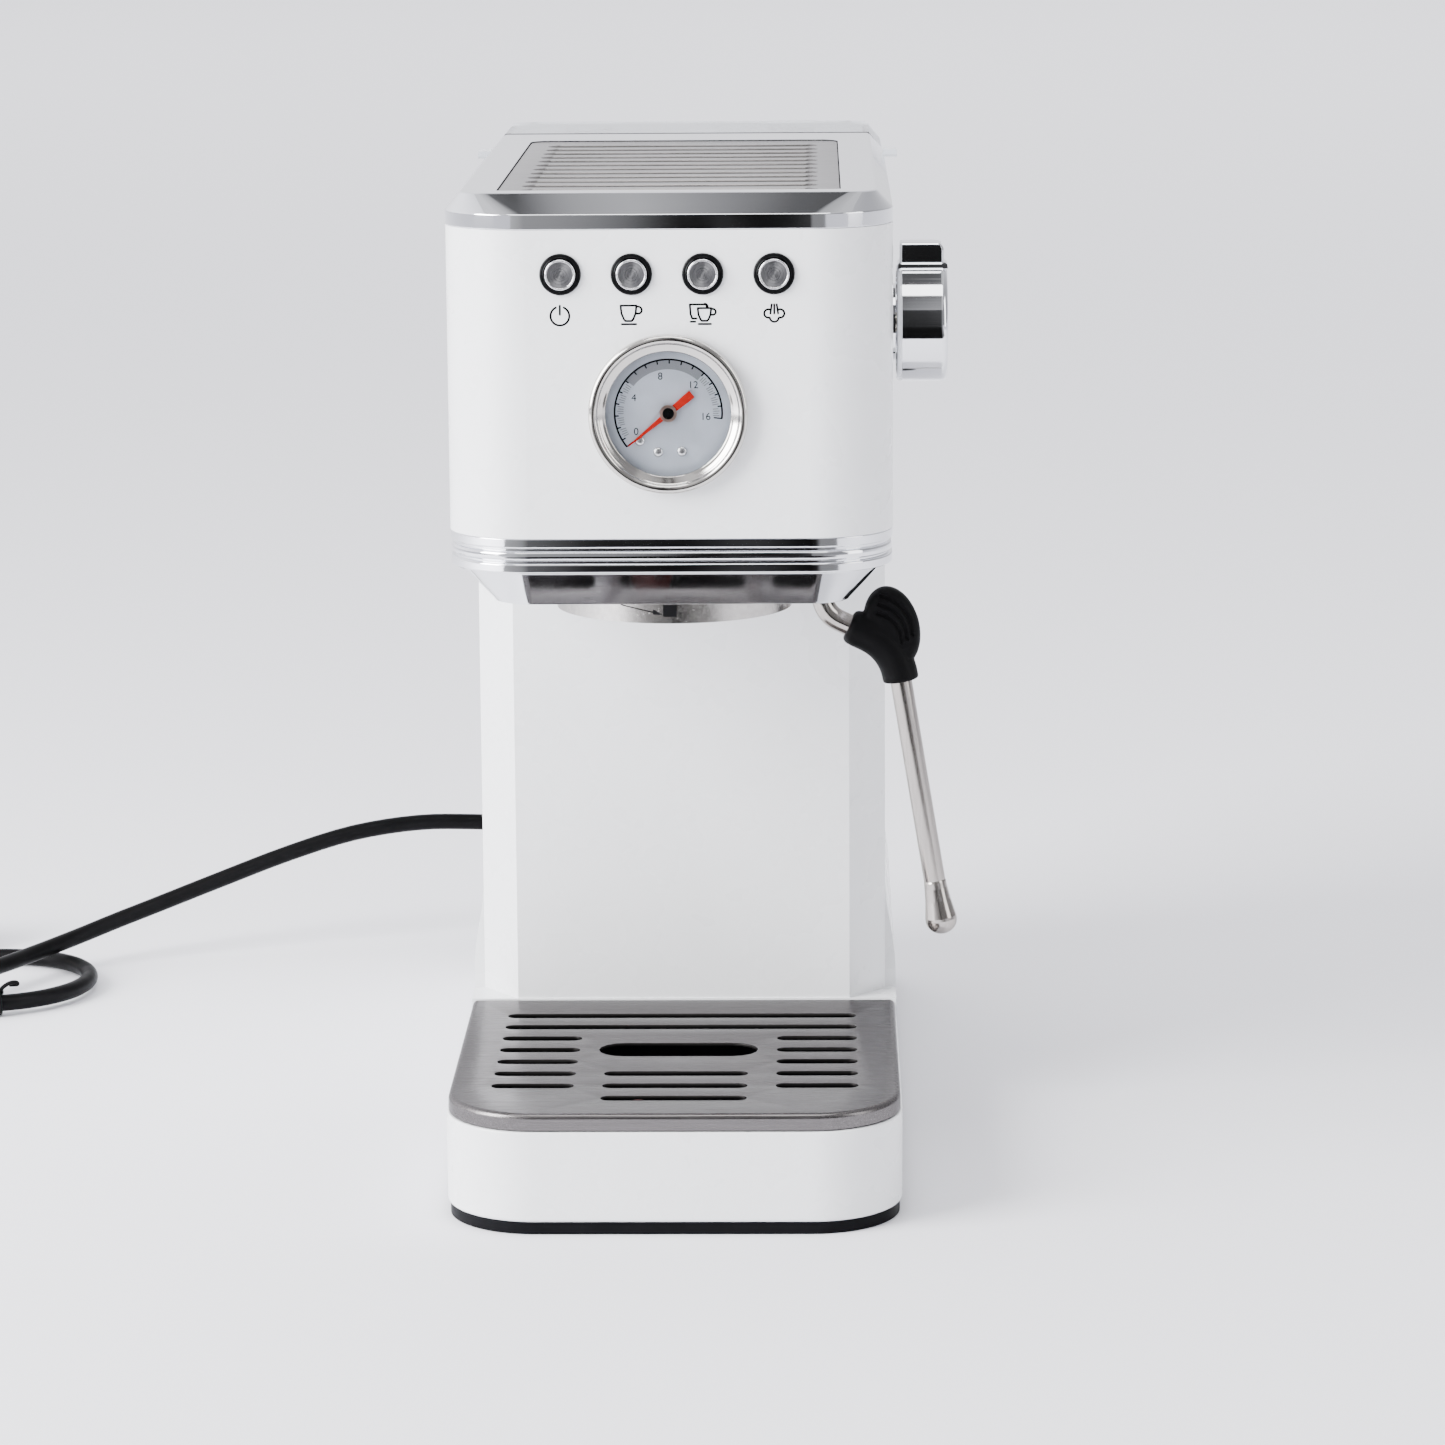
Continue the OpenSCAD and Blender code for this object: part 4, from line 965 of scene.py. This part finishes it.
# Dark centre of the needle's hub
hub_at = centre_of("needle_hub")
hub_at.y = box_mm("needle_hub")[0].y
hub_profile = [(1.7, 0), (1.7, 0.1), (1.5, 0.16), (0.5, 0.16), (0.35, 0.3), (0, 0.3)]
hub_disc = turned_object("hub_disc", hub_profile, hub_at, TOWARDS_FRONT, 40)
finish_piece(hub_disc, GLOSS_BLACK, "gauge_needle", "black_plastic")

# Printed symbols under the buttons
ICON_Z = BUTTON_Z - 12.4
SAUCER_DROP = 0.95  # from a cup's foot to the line of its saucer
LINE = 0.62


def cup(x, z, w, h):
    """Side view of a cup: straight rim, rounded foot, handle and saucer line."""
    left, right, foot = x - w / 2, x + w / 2, z - h / 2
    side = [(w / 2, z + h / 2), (0.45 * w, z), (0.3 * w, foot + 0.12 * h), (0.2 * w, foot)]
    body = [(x + across, height) for across, height in side]
    body += [(x - across, height) for across, height in reversed(side)] + body[:1]
    handle = [(right, z + 0.45 * h)] + arc(right + 0.12 * w, z + 0.2 * h, 0.22 * w, 75, -90, 10)
    handle.append((right - 0.06 * w, z - 0.02 * h))
    saucer = [(left + 0.06 * w, foot - SAUCER_DROP), (right - 0.02 * w, foot - SAUCER_DROP)]
    return [body, handle, saucer]


def symbol_lines(index, x):
    """Lines of one symbol, around a button's x."""
    if index == 0:
        return [arc(x - 0.2, ICON_Z, 2.8, 115, 425, 28), [(x - 0.2, ICON_Z + 3.1), (x - 0.2, ICON_Z + 0.4)]]
    if index == 1:
        return cup(x - 0.95, ICON_Z + 0.75, 4.7, 4.6)
    if index == 2:
        side = shifted(x, ICON_Z, (-1.9, -0.9), (-3.2, -0.9), (-3.7, 0.4), (-3.9, 3.3))
        rear_cup = side + shifted(x, ICON_Z, (0.9, 3.3), (1.2, 2.4))
        rear_saucer = shifted(x, ICON_Z, (-3.7, -1.85), (-2.3, -1.85))
        rear_handle = arc(x + 0.5, ICON_Z + 2.6, 0.9, 90, -10, 6)
        return [rear_cup, rear_saucer, rear_handle] + cup(x + 0.45, ICON_Z + 0.3, 4.0, 3.8)
    jets = [shifted(x, ICON_Z, (side * 0.75, 3.2), (side * 1.15, 0.5)) for side in (-1, 0, 1)]
    cloud = arc(x - 1.75, ICON_Z + 0.5, 1.25, 60, 285, 14) + arc(x, ICON_Z - 0.7, 1.3, 190, 350, 12)
    return jets + [cloud + arc(x + 1.75, ICON_Z + 0.5, 1.25, -105, 120, 14)]


for index, name in enumerate(BUTTONS):
    parts = [stroke(points, LINE, FACE) for points in symbol_lines(index, centre_of(name).x)]
    symbol = add_object(f"symbol_{name}", *merged(parts))
    finish_piece(symbol, INK, "machine", "black_plastic")

# ---- steam knob

knob_low, knob_high = box_mm("steam_knob")
KNOB_R = (knob_high.y - knob_low.y) / 2
KNOB = Vector((knob_low.x, (knob_low.y + knob_high.y) / 2, knob_low.z + KNOB_R))
KNOB_T = knob_high.x - knob_low.x
knob_section = (
    [(3.1, 0.6)]
    + shifted(KNOB_R, 0, (-2.4, 0.6), (-2.4, 0), (-1.2, 0), (-0.6, 0.2), (-0.15, 0.8), (0, 1.6))
    + arc(KNOB_R - 1.9, KNOB_T - 1.9, 1.9, 0, 90, 8)
    + shifted(KNOB_R, KNOB_T, (-2.6, -0.02), (-3.2, -0.35)) + [(0, KNOB_T - 0.6)]
)
knob = turned_object("knob_disc", knob_section, KNOB, (1, 0, 0), 128)
TAB_TOP = knob_high.z - KNOB.z
TAB_W = 10.0
tab_plan = [(1.0, KNOB_R - 4)] + arc(2.0, TAB_TOP - 1.0, 1.0, 180, 90, 4)
tab_plan += arc(KNOB_T - 3.6, TAB_TOP - 2.6, 2.6, 90, 0, 8) + [(KNOB_T - 1.0, KNOB_R - 4)]
tab_edge = [(1.4, -0.5), (0.7, -0.5), (0.2, -0.46), (0, -0.4)]
tab_rings = []
centre = KNOB_T / 2
for inset, side in tab_edge + [(inset, -side) for inset, side in reversed(tab_edge)]:
    plan = [(centre + (x - centre) * (1 - inset / centre), min(z, TAB_TOP - inset)) for x, z in tab_plan]
    tab_rings.append([KNOB + Vector((x, side * TAB_W, z)) for x, z in plan])
tab = add_object("knob_tab", *loft(held(tab_rings)), angle=EASED)
foot_rings = []
for z, grow in [(-1.2, 1.2), (0.1, 1.0), (0.5, 0.45), (0.7, 0)]:
    x0, x1, half = 1.0 - grow * 0.5, KNOB_T - 1.0 + grow, TAB_W / 2 + grow
    corners = at_height([(x0, -half), (x1, -half), (x1, half), (x0, half)], KNOB_R + z)
    foot_rings.append([KNOB + Vector(corner) for corner in corners])
foot = add_object("knob_foot", *loft(foot_rings))
finish_piece(knob, CHROME, "steam_knob", "chrome", "steam_knob")
finish_piece(tab, CHROME, "steam_knob", "chrome")
finish_piece(foot, CHROME, "steam_knob", "chrome")

# ---- steam wand

TUBE_R = 3.4
BEND_1 = 9.0  # upper bend, and how far it turns in degrees
SWEEP_1 = 65.0
BEND_2 = 18.0
LINK = 10.0  # straight run between the bends
LEAN = 9.4
STRAIGHT = 66.7
BEND_Z = 181.7  # height at which the upper bend starts
TUBE_TOP = 192.0  # inside the ball


def in_plane(points):
    return [(x, WAND.y, z) for x, z in points]


slope_1 = SWEEP_1 - 90  # heading after each bend, in degrees from +X
slope_2 = LEAN - 90
p1 = Vector((WAND.x + BEND_1, BEND_Z)) + on_circle(BEND_1, 180 + SWEEP_1)
p2 = p1 + on_circle(LINK, slope_1)
c2 = p2 + on_circle(BEND_2, slope_1 - 90)
p3 = c2 - on_circle(BEND_2, slope_2 - 90)
p4 = p3 + on_circle(STRAIGHT, slope_2)
lower_bend = arc(c2.x, c2.y, BEND_2, slope_1 + 90, slope_2 + 90, 10)
wand_path = [(WAND.x, TUBE_TOP), (WAND.x, TUBE_TOP - 6)]
wand_path += arc(WAND.x + BEND_1, BEND_Z, BEND_1, 180, 180 + SWEEP_1, 10)
wand_path += lower_bend + [tuple((p3 + p4) / 2), tuple(p4)]
tube = add_object("wand_pipe", *loft(tube_rings(in_plane(wand_path), TUBE_R, 40)))
finish_piece(tube, TUBE_STEEL, "steam_wand", "polished_steel", "wand_tube")

tip_axis = on_circle(1, slope_2)
tip_profile = (
    shifted(TUBE_R, 0, (-0.5, -0.1), (-0.1, -0.1), (-0.1, 0.25), (0.12, 0.45), (0.25, 2.5))
    + [(4.05, 6.5), (4.7, 10.5), (4.95, 12.0)]
    + [(5.0 * c, 13.0 + 4.6 * s) for c, s in arc(0, 0, 1, 0, 90, 10)[:-1]]
    + [(0.7, 17.55), (0.55, 17.0), (0, 17.0)]
)
tip = turned_object("steam_tip", tip_profile, (p4.x, WAND.y, p4.y), (tip_axis.x, 0, tip_axis.y), 64)
finish_piece(tip, TUBE_STEEL, "steam_wand", "polished_steel", "wand_tip")

# Rubber grip: a sleeve round the lower bend with a thumb pad that carries curved grooves
SLEEVE_R = 5.7
sleeve = [(3.4, 3.6), (3.55, 4.5), (4.0, 5.1), (4.9, 5.55), (6.5, SLEEVE_R), (LINK, SLEEVE_R)]
sleeve_line = [tuple(p1 + on_circle(d, slope_1)) for d, r in sleeve]
sleeve_line += lower_bend[1:] + [tuple(p3 + on_circle(d, slope_2)) for d in (0.9, 1.3, 1.5)]
sleeve_radii = [r for d, r in sleeve] + [SLEEVE_R] * len(lower_bend) + [SLEEVE_R - 0.12, SLEEVE_R - 0.45]
sleeve_form = loft(tube_rings(in_plane(sleeve_line), sleeve_radii, 40))

PAD = Vector((67.7, 171.4))  # centre of the thumb pad, half widths, lean in degrees
PAD_A, PAD_B, PAD_LEAN = 8.7, 13.2, 14.0
PAD_T = 3.7  # half its thickness


def pad_ring(inset, y):
    tilt = Matrix.Rotation(math.radians(PAD_LEAN), 2)
    ring = [((PAD_A - inset) * c, (PAD_B - inset) * s) for c, s in arc(0, 0, 1, 0, 360, 72)[:-1]]
    return [(x, WAND.y + y, z) for x, z in (PAD + tilt @ Vector(point) for point in ring)]


pad_edge = [(2.4 - 2.4 * c, PAD_T * s) for c, s in arc(0, 0, 1, 0, 90, 6)]
pad_levels = [(6.0, PAD_T + 0.5), (4.2, PAD_T + 0.3)] + list(reversed(pad_edge))
pad_back = [pad_ring(inset, y) for inset, y in reversed(pad_levels[:-1])]
pad_form = loft([pad_ring(inset, -y) for inset, y in pad_levels] + pad_back)
PAD_GROOVES = [(61.2, 167.0 + 1.2 * k, 9.6 + 1.6 * k) for k in range(3)]  # centre x, z and radius
GROOVE_FIRST, GROOVE_LAST = 1, 78  # angles of their ends, in degrees
GROOVE_W = 0.62  # half the width of a groove
GROOVE_CUT = 0.85  # its depth


def groove_distance(x, z):
    """Distance in the pad's plane to the nearest of its grooves."""
    reaches = []
    for centre_x, centre_z, r in PAD_GROOVES:
        away = Vector((x - centre_x, z - centre_z))
        turn = min(max(math.degrees(math.atan2(away.y, away.x)), GROOVE_FIRST), GROOVE_LAST)
        reaches.append((away - on_circle(r, turn)).length)
    return min(reaches)


def blended(name, parts, cell, rounds):
    """One skin round several overlapping forms, evened out where they meet."""
    rough = add_object(name + "_forms", *merged(parts))
    remesh = rough.modifiers.new("skin", "REMESH")
    remesh.mode = "VOXEL"
    remesh.voxel_size = cell * MM
    mesh = evaluated_mesh(rough)
    skin = bmesh.new()
    skin.from_mesh(mesh)
    bpy.data.meshes.remove(mesh)
    for _ in range(rounds):
        bmesh.ops.smooth_vert(
            skin, verts=skin.verts, factor=0.5, use_axis_x=True, use_axis_y=True, use_axis_z=True
        )
    skin.normal_update()
    return skin


grip_skin = blended("wand_grip", [sleeve_form, pad_form], 0.3, 5)
for v in grip_skin.verts:
    near = groove_distance(v.co.x / MM, v.co.z / MM) / GROOVE_W
    if near < 1.6 and abs(v.normal.y) > 0.6:
        depth = GROOVE_CUT / (1 + math.exp((near - 0.9) * 7))
        v.co.y -= math.copysign(depth * MM, v.normal.y)
grip_mesh = bpy.data.meshes.new("grip")
grip_skin.to_mesh(grip_mesh)
grip_skin.free()
set_shading(grip_mesh, math.radians(60))
grip = link("grip", grip_mesh)
finish_piece(grip, RUBBER, "steam_wand", "black_rubber", "wand_grip")

# ---- lead fittings

# Wire tie that holds the hank: a coil round two strands, with its end folded over
WIRE_R = 0.75
COIL_R = CORD_D / 2 + WIRE_R + 0.05


def coil(at, direction, turns, pitch=1.7, steps=20):
    """Turns of wire round a strand, from its top."""
    direction = unit(direction)
    up = Vector((0, 0, 1))
    side = direction.cross(up)
    points = []
    for k in range(steps * turns + 1):
        across, height = on_circle(COIL_R, 90 - 360 * k / steps)
        points.append(at + direction * pitch * (k / steps - turns / 2) + across * side + height * up)
    return points


near_strand = min(cord_line, key=lambda p: abs(p.x - TIE_X) + 4 * abs(p.y - (HANK_Y - 40)))
far_strand = min(cord_line, key=lambda p: abs(p.x - TIE_X + 11) + abs(p.z - HIGH - 0.1) * 20)
near_turns = coil(near_strand, (0.95, 0.32, 0), 2)
far_turns = coil(far_strand, (-0.52, -0.85, 0), 1)
top = near_strand + Vector((0, 0, COIL_R))
fold_steps = [(1.8, -0.4, 1.7), (4.6, -0.8, 3.7), (7.0, -0.6, 4.0), (7.2, 0.8, 2.9), (4.4, 0.9, 2.7)]
folded_end = [top + Vector(step) for step in fold_steps]
halfway = (top + far_turns[0]) / 2 + Vector((0, 0, 1.5))
bridge = [near_turns[0], top + Vector((-2.4, 1.0, 2.2)), halfway, far_turns[0]]
tie_paths = [near_turns[::2] + folded_end, bridge, far_turns]
tie_wires = [loft(tube_rings(catmull(points, 4), WIRE_R, 10)) for points in tie_paths]
tie = add_object("cord_tie", *merged(tie_wires))
finish_piece(tie, CORD_BLACK, "machine", "cord_black")

# ---- soft edges on the plainer nodes

SOFT_EDGES = {
    0.6: ["plug_body", "wand_ball"],
    0.4: ["group_collar", "body_shell", "rear_panel", "water_tank", "tank_lid", "pump"],
    0.25: ["brew_head", "thermoblock", "tank_coupling", "tank_valve", "valve_escutcheon", "feet"],
    0.12: ["gauge_needle", "needle_hub", "plug_pins", "lid_pins", "screen_screw"],
}
for width, nodes in SOFT_EDGES.items():
    for node in nodes:
        soften(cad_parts[node], width)


# ---- floor and light

def add_area(name, at, size, power, target=(0, 0, 0.17)):
    """Soft rectangular light aimed at a point."""
    data = bpy.data.lights.new(name, "AREA")
    data.shape = "RECTANGLE"
    data.size, data.size_y = size
    data.energy = power
    light = link(name, data)
    light.location = at
    light.rotation_euler = (Vector(at) - Vector(target)).to_track_quat("Z", "Y").to_euler()
    light.visible_camera = False
    return light


def maths(tree, operation, *values):
    """Output of a math node fed with sockets or plain numbers."""
    node = tree.nodes.new("ShaderNodeMath")
    node.operation = operation
    for socket, value in zip(node.inputs, values):
        if isinstance(value, bpy.types.NodeSocket):
            tree.links.new(value, socket)
        else:
            socket.default_value = value
    return node.outputs["Value"]


def add_card(name, corners, stops):
    """Flat stage card that only reflections see. Its glow follows stops of (x in metres, brightness)."""
    card = add_object(name, [Vector(c) / MM for c in corners], [(0, 1, 2, 3)])
    look = new_material(name, (0, 0, 0), 1.0, Specular_IOR_Level=0.0, Emission_Strength=1.0)
    tree = look.node_tree
    wander = maths(tree, "MULTIPLY_ADD", noise(look, 4.0, 1.0), 0.1, -0.05)
    across = maths(tree, "ADD", direction_parts(tree, "Object")["X"], wander)
    reach = max(abs(x) for x, glow in stops)
    ramp = add_node(tree, "ValToRGB", Fac=maths(tree, "MULTIPLY_ADD", across, 0.5 / reach, 0.5))
    elements = ramp.color_ramp.elements
    while len(elements) < len(stops):
        elements.new(0.5)
    for element, (x, glow) in zip(elements, stops):
        element.position = (x / reach + 1) / 2
        element.color = (glow, glow, glow * 1.03, 1)
    to_shader(look, ramp.outputs["Color"], "Emission Color")
    dress(card, look)
    card.visible_camera = False
    card.visible_diffuse = False
    card.visible_shadow = False


FLOOR = 14.0 / MM
floor_corners = [(-FLOOR, -FLOOR), (FLOOR, -FLOOR), (FLOOR, FLOOR), (-FLOOR, FLOOR)]
floor = add_object("floor", at_height(floor_corners, 0), [(0, 1, 2, 3)])
dress(floor, new_material("floor", (0.82, 0.82, 0.86), 0.9, Specular_IOR_Level=0.0))

# Dark studio beyond the table and above it, seen only in the plated pieces
ROOM = [
    (-1.0, 0.6), (-0.3, 0.35), (-0.16, 0.16), (-0.1, 0.02), (-0.02, 0.008), (0.03, 0.05), (0.07, 0.006),
    (0.2, 0.02), (0.35, 0.3),
]
CEILING = [
    (-1.0, 1.2), (-0.5, 0.8), (-0.27, 0.06), (-0.2, 0.5), (-0.13, 0.65), (-0.05, 0.4), (0.06, 0.14),
    (0.14, 0.1), (0.22, 0.6), (1.0, 0.9),
]
CARD_X, CARD_Y, CARD_Z = 1.6, -5.0, 3.0  # half width, front and top of the cards
far_edge = [(-CARD_X, CARD_Y), (CARD_X, CARD_Y)]
add_card("front_floor", at_height(far_edge + [(0.7, -0.6), (-0.7, -0.6)], 0.01), ROOM)
add_card("front_wall", at_height(far_edge, 0) + at_height(far_edge[::-1], CARD_Z), ROOM)
add_card("ceiling", at_height(far_edge + [(CARD_X, 2.0), (-CARD_X, 2.0)], CARD_Z), CEILING)

add_area("left_box", (-1.5, -0.9, 0.9), (1.0, 1.5), 120)
add_area("right_box", (1.6, -0.8, 0.8), (0.8, 1.4), 14)
add_area("top_box", (0.0, -0.7, 2.0), (1.2, 0.8), 16)
sweep = add_area("sweep_light", (0.0, 6.0, 4.5), (8.0, 8.0), 500, (0.0, 6.0, 0.0))
sweep.visible_glossy = False

# Backdrop and room: brightest at the left and behind the machine, dim on the camera's side
world = bpy.data.worlds.new("studio")
world.use_nodes = True
sky = world.node_tree
towards = direction_parts(sky, "Generated")
sideways = maths(sky, "EXPONENT", maths(sky, "MULTIPLY", towards["X"], -0.9))
backwards = maths(sky, "MULTIPLY_ADD", towards["Y"], 0.36, 0.64)
glow = maths(sky, "MULTIPLY", maths(sky, "MULTIPLY", sideways, backwards), 1.75)
backdrop = sky.nodes["Background"]
sky.links.new(glow, backdrop.inputs["Strength"])
backdrop.inputs["Color"].default_value = (0.90, 0.90, 0.95, 1)
bpy.context.scene.world = world
